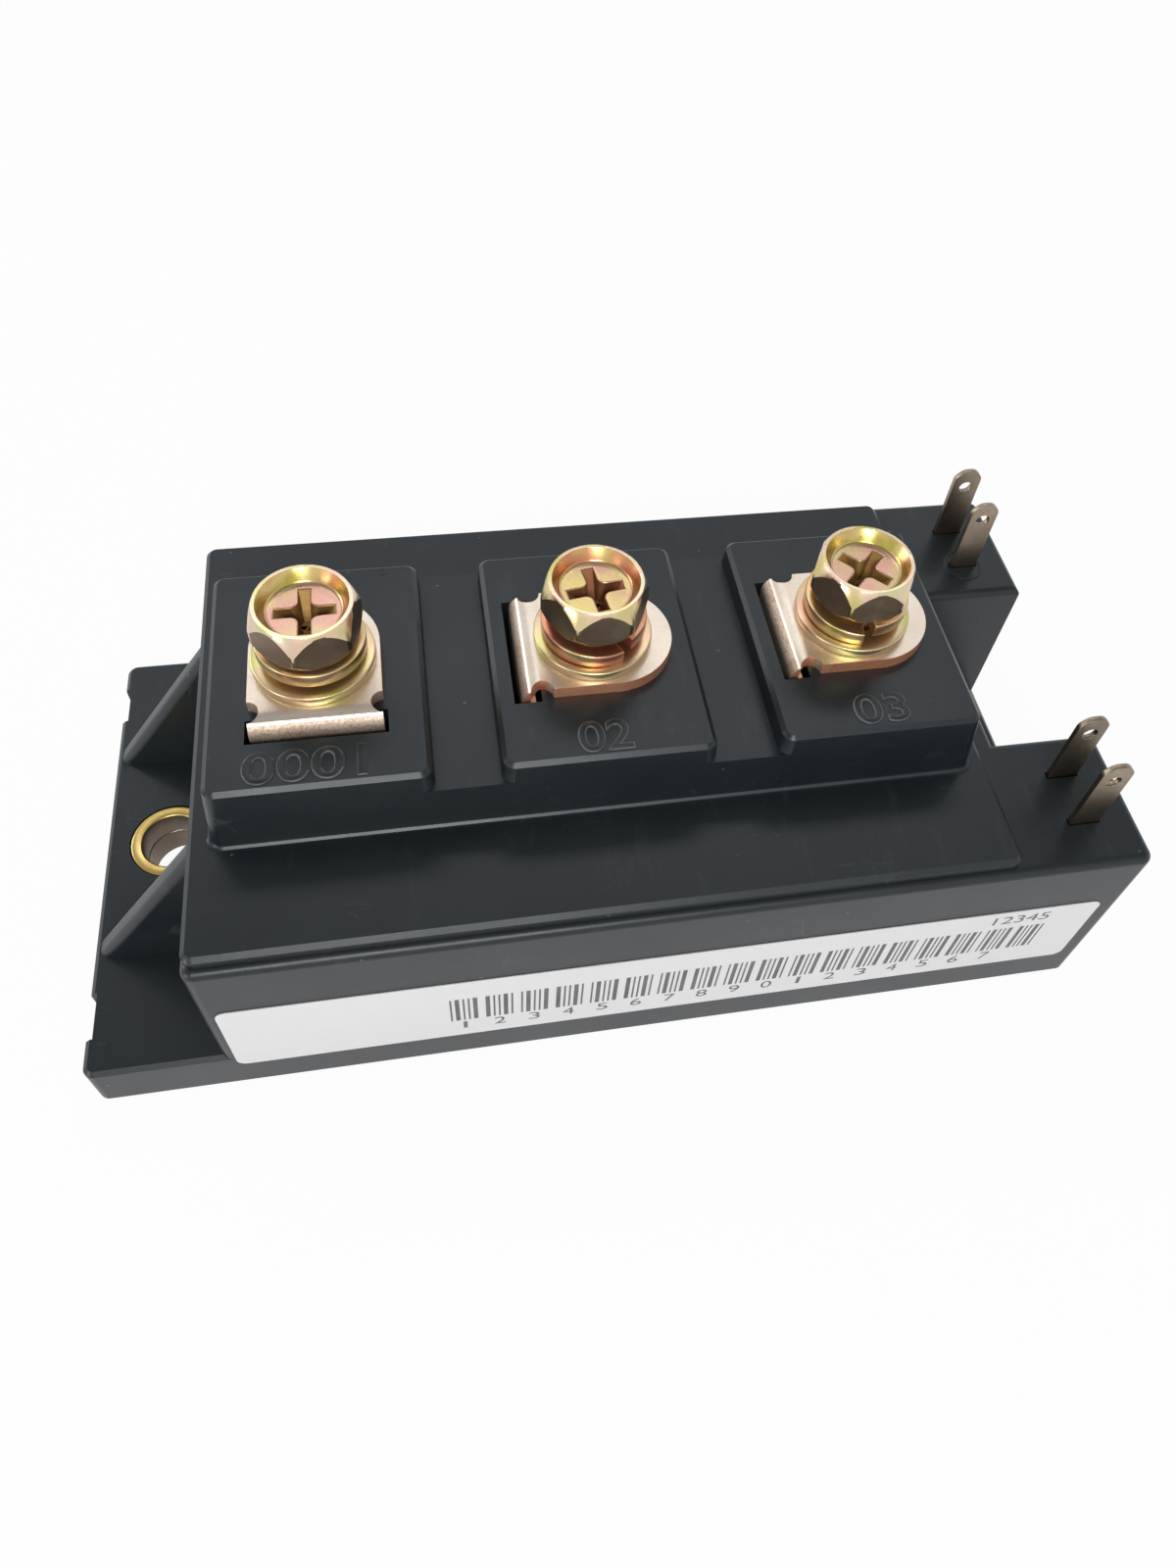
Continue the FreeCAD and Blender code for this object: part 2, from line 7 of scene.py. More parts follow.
# %% Load the construction
import json
import math

import bpy
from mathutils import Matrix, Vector


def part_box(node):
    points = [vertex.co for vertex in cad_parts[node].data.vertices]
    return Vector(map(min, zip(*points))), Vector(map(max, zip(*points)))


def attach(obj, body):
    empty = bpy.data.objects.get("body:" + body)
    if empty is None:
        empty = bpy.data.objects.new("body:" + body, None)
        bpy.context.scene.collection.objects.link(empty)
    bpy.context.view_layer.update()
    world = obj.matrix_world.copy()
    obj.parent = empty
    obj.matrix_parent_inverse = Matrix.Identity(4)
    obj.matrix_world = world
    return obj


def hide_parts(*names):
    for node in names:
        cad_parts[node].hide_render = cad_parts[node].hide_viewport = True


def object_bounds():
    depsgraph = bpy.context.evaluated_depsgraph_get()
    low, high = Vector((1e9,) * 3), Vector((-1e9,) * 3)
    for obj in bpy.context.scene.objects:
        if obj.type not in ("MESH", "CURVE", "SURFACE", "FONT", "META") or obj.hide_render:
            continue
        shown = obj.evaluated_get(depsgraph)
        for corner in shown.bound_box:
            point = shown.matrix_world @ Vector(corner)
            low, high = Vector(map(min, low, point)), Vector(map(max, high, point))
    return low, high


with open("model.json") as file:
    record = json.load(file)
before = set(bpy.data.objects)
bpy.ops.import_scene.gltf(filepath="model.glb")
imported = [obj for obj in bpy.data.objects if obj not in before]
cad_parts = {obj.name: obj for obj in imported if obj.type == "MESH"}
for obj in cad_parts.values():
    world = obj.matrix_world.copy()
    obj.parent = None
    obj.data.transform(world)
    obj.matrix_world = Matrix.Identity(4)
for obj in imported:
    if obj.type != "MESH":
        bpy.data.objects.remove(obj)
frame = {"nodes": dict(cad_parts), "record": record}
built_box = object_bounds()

MM = 0.001
MICRON = 0.000001
nodes = frame["nodes"]
box_mm = [[round(v / MM, 2) for v in corner] for corner in built_box]
print(len(nodes), "construction pieces, box in mm:", box_mm)

# %% [markdown]
# The camera stands where the photographer stood: in front of the module, a little to the left of its
# middle and about 10 cm above the table. It could be placed by eye, but a wide lens that close makes the
# near edge much larger than the far one, and a guess shows at once. So its place, turn and lens were
# worked out from points of the module whose real distances are known. The small shift keeps the module
# in the place that it has in the picture.

# %% Camera
lens_place = (-0.013404, -0.062853, 0.106019)
lens_turn = (38.1819, -4.1573, -9.6904)
bpy.ops.object.camera_add(location=lens_place, rotation=[math.radians(a) for a in lens_turn])
camera = bpy.context.object
camera.name = "portrait_camera"
camera.data.lens = 26.6
camera.data.sensor_width = 36.0
camera.data.shift_x = -0.0252
camera.data.shift_y = -0.0630
camera.data.clip_start = 0.002
bpy.context.scene.camera = camera
print("lens", camera.data.lens, "mm,", round(camera.location.z / MM), "mm above the table")

# %% [markdown]
# Small helpers come next. Operators act on whatever is selected, so each helper starts by deselecting
# everything. A finished piece has its place inside its mesh, so that patterns measured in its own
# coordinates stay put.


# %% Helpers for one piece at a time
def nothing_selected():
    if bpy.context.object and bpy.context.object.mode != "OBJECT":
        bpy.ops.object.mode_set(mode="OBJECT")
    bpy.ops.object.select_all(action="DESELECT")


def take(piece):
    """Make this piece the only selected one, and the active one."""
    nothing_selected()
    piece.select_set(True)
    bpy.context.view_layer.objects.active = piece
    return piece


def named(name):
    """Name the piece that is active, such as the one that an operator has just added."""
    piece = bpy.context.object
    piece.name = name
    piece.data.name = name
    return piece


def settle(piece):
    """Put the piece's place, turn and size into its mesh."""
    take(piece)
    bpy.ops.object.transform_apply(location=True, rotation=True, scale=True)
    return piece


# %% [markdown]
# The studio is plain. A wide pale floor runs out to a round pale wall far behind, so no horizon shows
# from the side. One bent sheet could be both, but a plane and an open cylinder are simpler, and their
# corner is too far away to see.

# %% Floor and backdrop
bpy.ops.mesh.primitive_plane_add(size=6.0, location=(0, 0, -0.0001))
floor = named("floor")
wall_height = 2.2
bpy.ops.mesh.primitive_cylinder_add(vertices=96, radius=2.9, depth=wall_height, end_fill_type="NOTHING",
                                    location=(0, 0, wall_height / 2))
wall = named("backdrop_wall")
take(wall)
bpy.ops.object.shade_smooth()
print("floor", floor.dimensions.x, "m wide, wall", wall.dimensions.z, "m high")

# %% [markdown]
# Four soft lamps shape the module. A wide one behind gives the flat tops their sheen, one in front draws
# the pale line along every rounded front edge, and a high one at the left does so for the ends. A small
# one, low at the left, puts the gleam inside the screw heads. A single large lamp would be softer still,
# but dark plastic shows only what it reflects, so each face needs a lamp of its own.

# %% Lamps and surrounding light
world = bpy.data.worlds.new("studio_air")
bpy.context.scene.world = world
world.use_nodes = True
air = world.node_tree.nodes["Background"]
air.inputs["Color"].default_value = (0.93, 0.975, 1.0, 1)
air.inputs["Strength"].default_value = 0.43
module_middle = Vector((0, 0, 0.02))


def soft_lamp(name, place, width, height, watts, tint):
    """A large flat lamp that looks at the module."""
    bpy.ops.object.light_add(type="AREA", location=place)
    lamp = named(name)
    lamp.rotation_euler = (module_middle - Vector(place)).to_track_quat("-Z", "Y").to_euler()
    lamp.data.shape = "RECTANGLE"
    lamp.data.size = width
    lamp.data.size_y = height
    lamp.data.energy = watts
    lamp.data.color = tint


soft_lamp("back_window", (0.045, 0.363, 0.522), 0.60, 0.10, 0.56, (0.95, 0.98, 1.0))
soft_lamp("front_lamp", (-0.05, -0.45, 0.36), 0.20, 0.20, 1.75, (0.96, 0.98, 1.0))
soft_lamp("left_lamp", (-0.42, -0.24, 0.07), 0.14, 0.10, 0.40, (1.0, 0.98, 0.95))
soft_lamp("side_window", (-0.50, 0.28, 0.22), 0.25, 0.25, 0.8, (0.96, 0.98, 1.0))
bpy.context.scene.view_settings.view_transform = "Standard"

# %% [markdown]
# Finishes are made of nodes. These helpers add one node each and give back its socket, so that a finish
# reads as a short recipe: noise at a place, spread over a range, combined with a mask, mixed into a tone.


# %% Helpers for nodes
def feed(tree, value, socket):
    """Link a socket to this one, or set a plain number or colour on it."""
    if isinstance(value, (int, float)):
        socket.default_value = value
    elif isinstance(value, tuple):
        socket.default_value = (*value, 1)
    else:
        tree.links.new(value, socket)


def noise(tree, place, scale, detail=3.0, roughness=0.5):
    """Cloudy noise read at a place. The scale is a number per metre, or a socket that gives it."""
    made = tree.nodes.new("ShaderNodeTexNoise")
    for label, value in (("Vector", place), ("Scale", scale), ("Detail", detail), ("Roughness", roughness)):
        feed(tree, value, made.inputs[label])
    return made.outputs["Fac"]


def spread(tree, value, low, high, to_low=0.0, to_high=1.0):
    """Map a value from one range to another, clamped."""
    made = tree.nodes.new("ShaderNodeMapRange")
    for label, number in (("Value", value), ("From Min", low), ("From Max", high),
                          ("To Min", to_low), ("To Max", to_high)):
        feed(tree, number, made.inputs[label])
    return made.outputs["Result"]


def combined(tree, first, second, operation="MULTIPLY"):
    """Two values brought together by arithmetic."""
    made = tree.nodes.new("ShaderNodeMath")
    made.operation = operation
    feed(tree, first, made.inputs[0])
    feed(tree, second, made.inputs[1])
    return made.outputs[0]


def mixed(tree, share, first, second):
    """Mix two colours, each a socket or a triple."""
    made = tree.nodes.new("ShaderNodeMix")
    made.data_type = "RGBA"
    feed(tree, share, made.inputs["Factor"])
    feed(tree, first, made.inputs[6])
    feed(tree, second, made.inputs[7])
    return made.outputs[2]


def laid_over(tree, tone, mask, share, colour):
    """Lay a second colour over the tone where the mask is, as dense as the share."""
    return mixed(tree, combined(tree, mask, share), tone, colour)


def own_place(tree, stretch=(1, 1, 1), turn=(0, 0, 0), shift=(0, 0, 0)):
    """The piece's own coordinates, stretched, turned and shifted."""
    coordinates = tree.nodes.new("ShaderNodeTexCoord")
    mapping = tree.nodes.new("ShaderNodeMapping")
    mapping.inputs["Scale"].default_value = stretch
    mapping.inputs["Rotation"].default_value = turn
    mapping.inputs["Location"].default_value = shift
    tree.links.new(coordinates.outputs["Object"], mapping.inputs["Vector"])
    return mapping.outputs["Vector"]


# %% [markdown]
# Floor and wall show white to the eye and in reflections, and the floor still takes the module's shadow.
# More light would whiten them as well, but it would wash out the module. So the paint mixes in a glow
# that is seen only by rays that come from the camera, from gloss or through glass.

# %% Finish: floor and backdrop
glow_share = 0.95
floor_paint = bpy.data.materials.new("floor_paint")
floor_paint.use_nodes = True
tree = floor_paint.node_tree
paint = tree.nodes["Principled BSDF"]
paint.inputs["Base Color"].default_value = (0.86, 0.85, 0.86, 1)
paint.inputs["Roughness"].default_value = 0.9
paint.inputs["Specular IOR Level"].default_value = 0.0
glow = tree.nodes.new("ShaderNodeEmission")
glow.inputs["Color"].default_value = (1, 1, 1, 1)
rays = tree.nodes.new("ShaderNodeLightPath").outputs
seen = combined(tree, rays["Is Camera Ray"], rays["Is Glossy Ray"], "ADD")
seen = combined(tree, seen, rays["Is Transmission Ray"], "ADD")
seen.node.use_clamp = True
blend = tree.nodes.new("ShaderNodeMixShader")
feed(tree, combined(tree, seen, glow_share), blend.inputs[0])
feed(tree, paint.outputs[0], blend.inputs[1])
feed(tree, glow.outputs[0], blend.inputs[2])
feed(tree, blend.outputs[0], tree.nodes["Material Output"].inputs["Surface"])
floor.data.materials.append(floor_paint)
wall.data.materials.append(floor_paint)
print("floor and wall glow with", glow_share, "of white")

# %% [markdown]
# Some effects repeat: the fine grain of a spark-eroded mould, dust, the rainbow of a yellow zinc coat,
# scratches and dull spots. They could be drawn anew in every material, but then no two would match. So
# each is a node group with named inputs, built once, and placed where it is needed with its own values.


# %% Helpers for node groups
def new_group(name, **inputs):
    """An empty group with these inputs, and the sockets inside that hand them on."""
    group = bpy.data.node_groups.new(name, "ShaderNodeTree")
    for label, value in inputs.items():
        socket = group.interface.new_socket(label.replace("_", " "), in_out="INPUT",
                                            socket_type="NodeSocketFloat")
        socket.default_value = value
    return group, group.nodes.new("NodeGroupInput").outputs


def gives(group, **results):
    """Name what the group gives out: masks and values, or a colour."""
    for label, result in results.items():
        kind = "NodeSocketColor" if result.type == "RGBA" else "NodeSocketFloat"
        group.interface.new_socket(label, in_out="OUTPUT", socket_type=kind)
    out = group.nodes.new("NodeGroupOutput")
    for label, result in results.items():
        group.links.new(result, out.inputs[label])
    print("group", group.name, "gives", list(results))


# %% [markdown]
# Moulded plastic is never one flat colour. The mould was eroded by sparks, which leaves a grain of about
# a tenth of a millimetre, and handling leaves cloudy patches where the surface is a little shinier. Fine
# hair scratches are the places where a stretched noise crosses its middle value.

# %% Group: moulded grain
moulded_grain, given = new_group("moulded_grain", Grain_Scale=7000, Cloud_Scale=90)
place = own_place(moulded_grain)
fine = noise(moulded_grain, place, given["Grain Scale"], 2.0, 0.6)
cloud = spread(moulded_grain, noise(moulded_grain, place, given["Cloud Scale"], 4.0, 0.55), 0.3, 0.7)
rubbed_place = own_place(moulded_grain, stretch=(1, 0.25, 1), turn=(0, 0, 0.5))
rubbed = spread(moulded_grain, noise(moulded_grain, rubbed_place, 420, 5.0, 0.7), 0.58, 0.75)
hair_place = own_place(moulded_grain, stretch=(0.16, 1, 0.16), turn=(0, 0, 0.9))
hair = combined(moulded_grain, noise(moulded_grain, hair_place, 560, 2.0, 0.6), 0.5, "SUBTRACT")
hair = spread(moulded_grain, combined(moulded_grain, hair, 0.0, "ABSOLUTE"), 0.0, 0.006, 1.0, 0.0)
few = spread(moulded_grain, noise(moulded_grain, place, 170, 3.0, 0.6), 0.56, 0.64)
gives(moulded_grain, Grain=fine, Cloud=cloud, Rubbed=rubbed, Hairs=combined(moulded_grain, hair, few))

# %% [markdown]
# A few pale specks of dust always sit on dark plastic. Cells of a Voronoi pattern hold one point each,
# and only points that lie within a tenth of a millimetre of the surface show.

# %% Group: dust
dust_specks, given = new_group("dust_specks", Cell_Scale=300, Speck_Size=0.03)
cells = dust_specks.nodes.new("ShaderNodeTexVoronoi")
feed(dust_specks, own_place(dust_specks), cells.inputs["Vector"])
feed(dust_specks, given["Cell Scale"], cells.inputs["Scale"])
wide = combined(dust_specks, given["Speck Size"], 1.6)
specks = spread(dust_specks, cells.outputs["Distance"], given["Speck Size"], wide, 1.0, 0.0)
gives(dust_specks, Specks=specks)

# %% [markdown]
# Yellow zinc is a thin clear film over bright metal. Where the film is thinner or thicker its colour
# moves from straw to gold, pink and green, in soft patches a few millimetres wide. Real thin-film optics
# could be used, but a ramp of the colours that the eye sees is easier to steer.

# %% Group: zinc film
zinc_film, given = new_group("zinc_film", Patch_Scale=230, Offset=0.0)
patch = noise(zinc_film, own_place(zinc_film), given["Patch Scale"], 2.0, 0.45)
patch = combined(zinc_film, patch, given["Offset"], "ADD")
film = zinc_film.nodes.new("ShaderNodeValToRGB")
stops = [(0.30, (0.56, 0.47, 0.14)), (0.42, (0.74, 0.62, 0.38)), (0.52, (0.76, 0.50, 0.42)),
         (0.62, (0.74, 0.64, 0.44)), (0.72, (0.58, 0.60, 0.24))]
film.color_ramp.interpolation = "B_SPLINE"
while len(film.color_ramp.elements) < len(stops):
    film.color_ramp.elements.new(0.5)
for element, (position, colour) in zip(film.color_ramp.elements, stops):
    element.position = position
    element.color = (*colour, 1)
feed(zinc_film, patch, film.inputs["Fac"])
gives(zinc_film, Colour=film.outputs["Color"], Patch=patch)

# %% [markdown]
# Metal that was stamped, tumbled and handled has hair-fine scratches and small dull spots. Scratches are
# noise stretched far along one direction; spots are noise with everything but its peaks cut off.

# %% Group: handled metal
handled_metal, given = new_group("handled_metal", Scratch_Scale=900, Spot_Scale=1500)
along, across = (noise(handled_metal, own_place(handled_metal, stretch=stretch, turn=(0, 0, turn)),
                       given["Scratch Scale"], 3.0, 0.6)
                 for stretch, turn in (((1, 14, 14), 0.35), ((14, 1, 14), 0.15)))
scratches = combined(handled_metal, along, across, "MAXIMUM")
place = own_place(handled_metal)
spots = spread(handled_metal, noise(handled_metal, place, given["Spot Scale"], 4.0, 0.7), 0.56, 0.72)
haze = spread(handled_metal, noise(handled_metal, place, 260, 3.0, 0.5), 0.35, 0.65)
gives(handled_metal, Scratches=scratches, Spots=spots, Haze=haze)

# %% [markdown]
# A finish is one material. Three helpers start it, place a group in it, and surface it: the colour, a
# roughness that follows one mask and a relief that follows another. Two of the masks are plain noise,
# whose values crowd round the middle, so their own range is stretched to the roughness asked for.


# %% Helpers for finishes
raw_range = {"Scratches": (0.3, 0.75), "Grain": (0.3, 0.7)}


def new_finish(name, metallic=0.0):
    """A material and its node tree, with how metallic it is set on its Principled shader."""
    made = bpy.data.materials.new(name)
    made.use_nodes = True
    made.node_tree.nodes["Principled BSDF"].inputs["Metallic"].default_value = metallic
    return made, made.node_tree


def placed(tree, group, **values):
    """A group in this material, with its own values."""
    made = tree.nodes.new("ShaderNodeGroup")
    made.node_tree = group
    for label, value in values.items():
        made.inputs[label.replace("_", " ")].default_value = value
    return made.outputs


def surfaced(tree, tone, gloss, rough, relief, depth, strength):
    """Feed the shader its colour, its roughness between two limits, and a relief of this depth."""
    shader = tree.nodes["Principled BSDF"].inputs
    low, high = raw_range.get(gloss.name, (0, 1))
    bump = tree.nodes.new("ShaderNodeBump")
    feed(tree, depth, bump.inputs["Distance"])
    feed(tree, strength, bump.inputs["Strength"])
    feed(tree, relief, bump.inputs["Height"])
    feed(tree, tone, shader["Base Color"])
    feed(tree, spread(tree, gloss, low, high, *rough), shader["Roughness"])
    feed(tree, bump.outputs["Normal"], shader["Normal"])


# %% [markdown]
# The case is a dark blue-grey resin with a satin skin. Its own colour is nearly black: the greys in the
# picture are the white room, reflected softly. So the roughness matters more than the colour. The sloped
# sides of raised print get a paler copy of the plastic than their tops: a painted highlight along its edges.

# %% Finish: case plastic
case_plastic, tree = new_finish("case_plastic")
tree.nodes["Principled BSDF"].inputs["Specular IOR Level"].default_value = 0.40
grain = placed(tree, moulded_grain)
dust = placed(tree, dust_specks, Cell_Scale=290.0, Speck_Size=0.028)
tone = mixed(tree, grain["Cloud"], (0.0075, 0.0120, 0.0150), (0.0110, 0.0160, 0.0190))
tone = laid_over(tree, tone, grain["Rubbed"], 0.40, (0.036, 0.042, 0.046))
tone = laid_over(tree, tone, grain["Hairs"], 0.35, (0.070, 0.078, 0.082))
tone = laid_over(tree, tone, dust["Specks"], 0.35, (0.20, 0.21, 0.21))
surfaced(tree, tone, grain["Cloud"], (0.31, 0.39), grain["Grain"], 12 * MICRON, 0.5)

# Painted highlight: a paler plastic, laid on the sloped sides of raised print.
painted_highlight_plastic, tree = new_finish("painted_highlight_plastic")
grain = placed(tree, moulded_grain, Grain_Scale=9000.0, Cloud_Scale=500.0)
tone = mixed(tree, grain["Cloud"], (0.045, 0.050, 0.054), (0.110, 0.116, 0.120))
surfaced(tree, tone, grain["Grain"], (0.28, 0.40), grain["Grain"], 10 * MICRON, 0.4)
print("plastics:", case_plastic.name, painted_highlight_plastic.name)

# %% [markdown]
# Most metals here are worn in the same way: two close tones in a haze, darker spots and fine scratches.
# The screw terminals are copper strip with a dull pinkish tin coat. Shearing the strip to shape leaves
# the cut edges bare, so they shine orange. The signal tabs are thin tinned brass that has gone dull.


# %% Finish: strip, cut edge and tabs
def worn_finish(name, metallic, bright, deep, rough, scales=(400.0, 1100.0), spots=0.3, spot_tone=None,
                depth=6 * MICRON, strength=0.4):
    made, tree = new_finish(name, metallic)
    wear = placed(tree, handled_metal, Scratch_Scale=scales[0], Spot_Scale=scales[1])
    tone = mixed(tree, wear["Haze"], bright, deep)
    tone = laid_over(tree, tone, wear["Spots"], spots, spot_tone or deep)
    surfaced(tree, tone, wear["Scratches"], rough, wear["Scratches"], depth, strength)
    return made


terminal_metal = worn_finish("terminal_metal", 1.0, (0.76, 0.65, 0.55), (0.70, 0.585, 0.485), (0.30, 0.42),
                             (700.0, 2600.0), 0.35, (0.34, 0.24, 0.17), 10 * MICRON, 0.35)
cut_copper = worn_finish("cut_copper_edge", 0.8, (0.90, 0.37, 0.20), (0.94, 0.47, 0.28), (0.38, 0.52),
                         (500.0, 1800.0), 0.5, (0.38, 0.14, 0.07), 10 * MICRON, 0.4)
tab_metal = worn_finish("tab_metal", 1.0, (0.36, 0.29, 0.22), (0.24, 0.19, 0.14), (0.28, 0.46),
                        (600.0, 1300.0), 0.5, (0.20, 0.15, 0.10), 10 * MICRON, 0.5)
print("strip and tabs:", terminal_metal.name, cut_copper.name, tab_metal.name)

# %% [markdown]
# Bending the strip crazes its coat along the bend, where darker copper shows through a web of tiny
# cracks. A picture of cracks could be wrapped round the bend. A fine noise with a hard threshold does as
# well at this scale, and the same noise sinks the cracks into the relief.

# %% Finish: crazed bend
bend_metal, tree = new_finish("terminal_bend_metal", metallic=0.55)
wear = placed(tree, handled_metal, Scratch_Scale=700.0, Spot_Scale=1600.0)
tone = mixed(tree, wear["Haze"], (0.52, 0.41, 0.32), (0.42, 0.31, 0.23))
crazed = spread(tree, noise(tree, own_place(tree), 5200, 3.0, 0.65), 0.47, 0.60)
tone = laid_over(tree, tone, crazed, 0.55, (0.17, 0.10, 0.065))
surfaced(tree, tone, wear["Spots"], (0.42, 0.58), crazed, 10 * MICRON, 0.4)
print("bend:", bend_metal.name)

# %% [markdown]
# Screws and washers share the zinc film. One finish could serve them all, but the film of every batch,
# and of every face of one screw, has a slightly different thickness, so helpers make a finish from the
# tones given. A last helper gives darker, duller metal for hollows such as the cross recess: painted shade.


# %% Helpers for zinc
def zinc_finish(name, offset, patch_scale, darker, rough, strength):
    """The whole rainbow of the film, with a darker haze and spots."""
    made, tree = new_finish(name, metallic=1.0)
    film = placed(tree, zinc_film, Patch_Scale=patch_scale, Offset=offset)
    wear = placed(tree, handled_metal, Scratch_Scale=800.0, Spot_Scale=1700.0)
    tone = laid_over(tree, film["Colour"], wear["Haze"], darker, (0.52, 0.44, 0.30))
    tone = laid_over(tree, tone, wear["Spots"], 0.12, (0.24, 0.17, 0.07))
    surfaced(tree, tone, wear["Scratches"], rough, wear["Scratches"], 8 * MICRON, strength)
    return made


def painted_shade_tone(name, bright, deep, rough):
    """Darker, duller metal for hollows, as painted shade."""
    made, tree = new_finish(name, metallic=0.8)
    wear = placed(tree, handled_metal, Scratch_Scale=800.0, Spot_Scale=1700.0)
    tone = mixed(tree, wear["Haze"], bright, deep)
    surfaced(tree, tone, wear["Scratches"], rough, wear["Spots"], 10 * MICRON, 0.4)
    return made


def film_tones(name, patch_scale, rough, thin, middle, thick):
    """Three tones of the film that pass into each other in soft patches."""
    made, tree = new_finish(name, metallic=0.95)
    film = placed(tree, zinc_film, Patch_Scale=patch_scale)
    wear = placed(tree, handled_metal, Scratch_Scale=1400.0, Spot_Scale=1700.0)
    tone = mixed(tree, spread(tree, film["Patch"], 0.34, 0.46), thin, middle)
    tone = mixed(tree, spread(tree, film["Patch"], 0.54, 0.66), tone, thick)
    tone = laid_over(tree, tone, wear["Spots"], 0.15, (0.26, 0.17, 0.08))
    surfaced(tree, tone, wear["Scratches"], rough, wear["Scratches"], 4 * MICRON, 0.1)
    return made


# %% [markdown]
# Fasteners that were plated in one drum still differ: the dish of a head, its wall, its six flats, the
# flat washer and the spring washer each show another part of the rainbow. The six flats are also painted
# dark brown, a painted reflection of the dark plastic. The middle screw and its spring washer came from a
# redder batch.

# %% Finish: zinc, in several tempers
screw_zinc = zinc_finish("screw_zinc", 0.0, 230.0, 0.1, (0.20, 0.28), 0.06)
nut_zinc = zinc_finish("nut_zinc", -0.05, 240.0, 0.6, (0.25, 0.40), 0.12)
dish_zinc = film_tones("screw_dish_zinc", 250.0, (0.24, 0.32),
                       (0.56, 0.42, 0.22), (0.60, 0.33, 0.26), (0.58, 0.40, 0.25))
dish_wall_zinc = film_tones("screw_dish_wall_zinc", 360.0, (0.20, 0.28),
                            (0.44, 0.36, 0.08), (0.60, 0.46, 0.18), (0.60, 0.30, 0.14))
# Painted reflection: the flats keep film patches, but darkened to the brown of the plastic they reflect.
flats_painted_reflection_zinc = film_tones("screw_flats_painted_reflection_zinc", 420.0, (0.34, 0.50),
                       (0.29, 0.24, 0.150), (0.24, 0.175, 0.120), (0.21, 0.145, 0.115))
washer_zinc = film_tones("flat_washer_zinc", 240.0, (0.27, 0.33),
                         (0.68, 0.42, 0.29), (0.72, 0.55, 0.33), (0.62, 0.58, 0.24))
spring_zinc = film_tones("spring_washer_zinc", 280.0, (0.27, 0.33),
                         (0.68, 0.40, 0.19), (0.72, 0.52, 0.29), (0.68, 0.55, 0.22))
redder_dish_zinc = film_tones("redder_dish_zinc", 250.0, (0.24, 0.32),
                              (0.62, 0.50, 0.18), (0.62, 0.46, 0.22), (0.60, 0.34, 0.26))
redder_wall_zinc = film_tones("redder_dish_wall_zinc", 360.0, (0.20, 0.28),
                              (0.60, 0.40, 0.14), (0.56, 0.26, 0.13), (0.62, 0.46, 0.16))
redder_spring_zinc = film_tones("redder_spring_zinc", 280.0, (0.27, 0.33),
                                (0.66, 0.34, 0.19), (0.64, 0.30, 0.20), (0.68, 0.50, 0.26))
# Painted shade: the cross recess and the screw shank take a darker, duller metal, plain and redder.
recess_shade_zinc = painted_shade_tone("screw_recess_shade_zinc", (0.40, 0.25, 0.08), (0.25, 0.12, 0.045), (0.5, 0.65))
redder_recess_shade_zinc = painted_shade_tone("redder_recess_shade_zinc", (0.36, 0.16, 0.07), (0.24, 0.095, 0.05), (0.5, 0.65))
print("zinc finishes:", [m.name for m in bpy.data.materials if "zinc" in m.name])

# %% [markdown]
# The bushes are turned brass: the tool leaves fine rings round the hole, so the pattern is made from the
# distance to the axis of each bush. Inside the hole the bore is painted a dull brown: painted shade.


# %% Finish: bushes
def turned_metal(name, centre_x, bright, deep):
    made, tree = new_finish(name, metallic=1.0)
    rings = tree.nodes.new("ShaderNodeTexWave")
    rings.wave_type = "RINGS"
    rings.rings_direction = "Z"
    feed(tree, own_place(tree, shift=(-centre_x, 0, 0)), rings.inputs["Vector"])
    feed(tree, 2200, rings.inputs["Scale"])
    feed(tree, 1.5, rings.inputs["Distortion"])
    wear = placed(tree, handled_metal, Scratch_Scale=500.0, Spot_Scale=900.0)
    tone = mixed(tree, wear["Haze"], bright, deep)
    tone = laid_over(tree, tone, wear["Spots"], 0.1, (0.20, 0.12, 0.03))
    surfaced(tree, tone, wear["Haze"], (0.24, 0.38), rings.outputs["Fac"], 5 * MICRON, 0.3)
    return made


hole_x = {"left": -0.040, "right": 0.040}
bush_brass = {side: turned_metal("bush_brass_" + side, x, (0.66, 0.47, 0.17), (0.56, 0.385, 0.125))
              for side, x in hole_x.items()}
# Painted shade: the bores of bush and plate take this dull brown.
bore_shade_brown = painted_shade_tone("bush_bore_shade_brown", (0.22, 0.17, 0.12), (0.14, 0.10, 0.07), (0.35, 0.5))
print("bush finishes:", [m.name for m in bush_brass.values()], bore_shade_brown.name)

# %% [markdown]
# The label is a satin film. Its white is a little uneven, and the print is a soft grey-black that never
# covers quite fully. Both borrow the grain of the plastic at a much smaller depth.

# %% Finish: label film and print
label_white, tree = new_finish("label_film_white")
grain = placed(tree, moulded_grain, Grain_Scale=5000.0, Cloud_Scale=60.0)
tone = mixed(tree, grain["Cloud"], (0.715, 0.698, 0.690), (0.752, 0.735, 0.726))
tone = laid_over(tree, tone, grain["Rubbed"], 0.12, (0.62, 0.60, 0.60))
surfaced(tree, tone, grain["Cloud"], (0.38, 0.48), grain["Grain"], 4 * MICRON, 0.3)

print_ink, tree = new_finish("print_ink")
grain = placed(tree, moulded_grain, Grain_Scale=9000.0, Cloud_Scale=300.0)
tone = mixed(tree, grain["Cloud"], (0.075, 0.072, 0.076), (0.14, 0.135, 0.14))
surfaced(tree, tone, grain["Grain"], (0.45, 0.6), grain["Grain"], 3 * MICRON, 0.3)
print("label:", label_white.name, print_ink.name)

# %% [markdown]
# Inside and underneath are the parts that carry heat and current: a nickel coated copper plate with a
# milled face, solder, copper, white ceramic, silicon chips, aluminium wires and a clear soft gel. The
# closed case hides most of them, so the recipe for worn metal serves them all, with other tones.

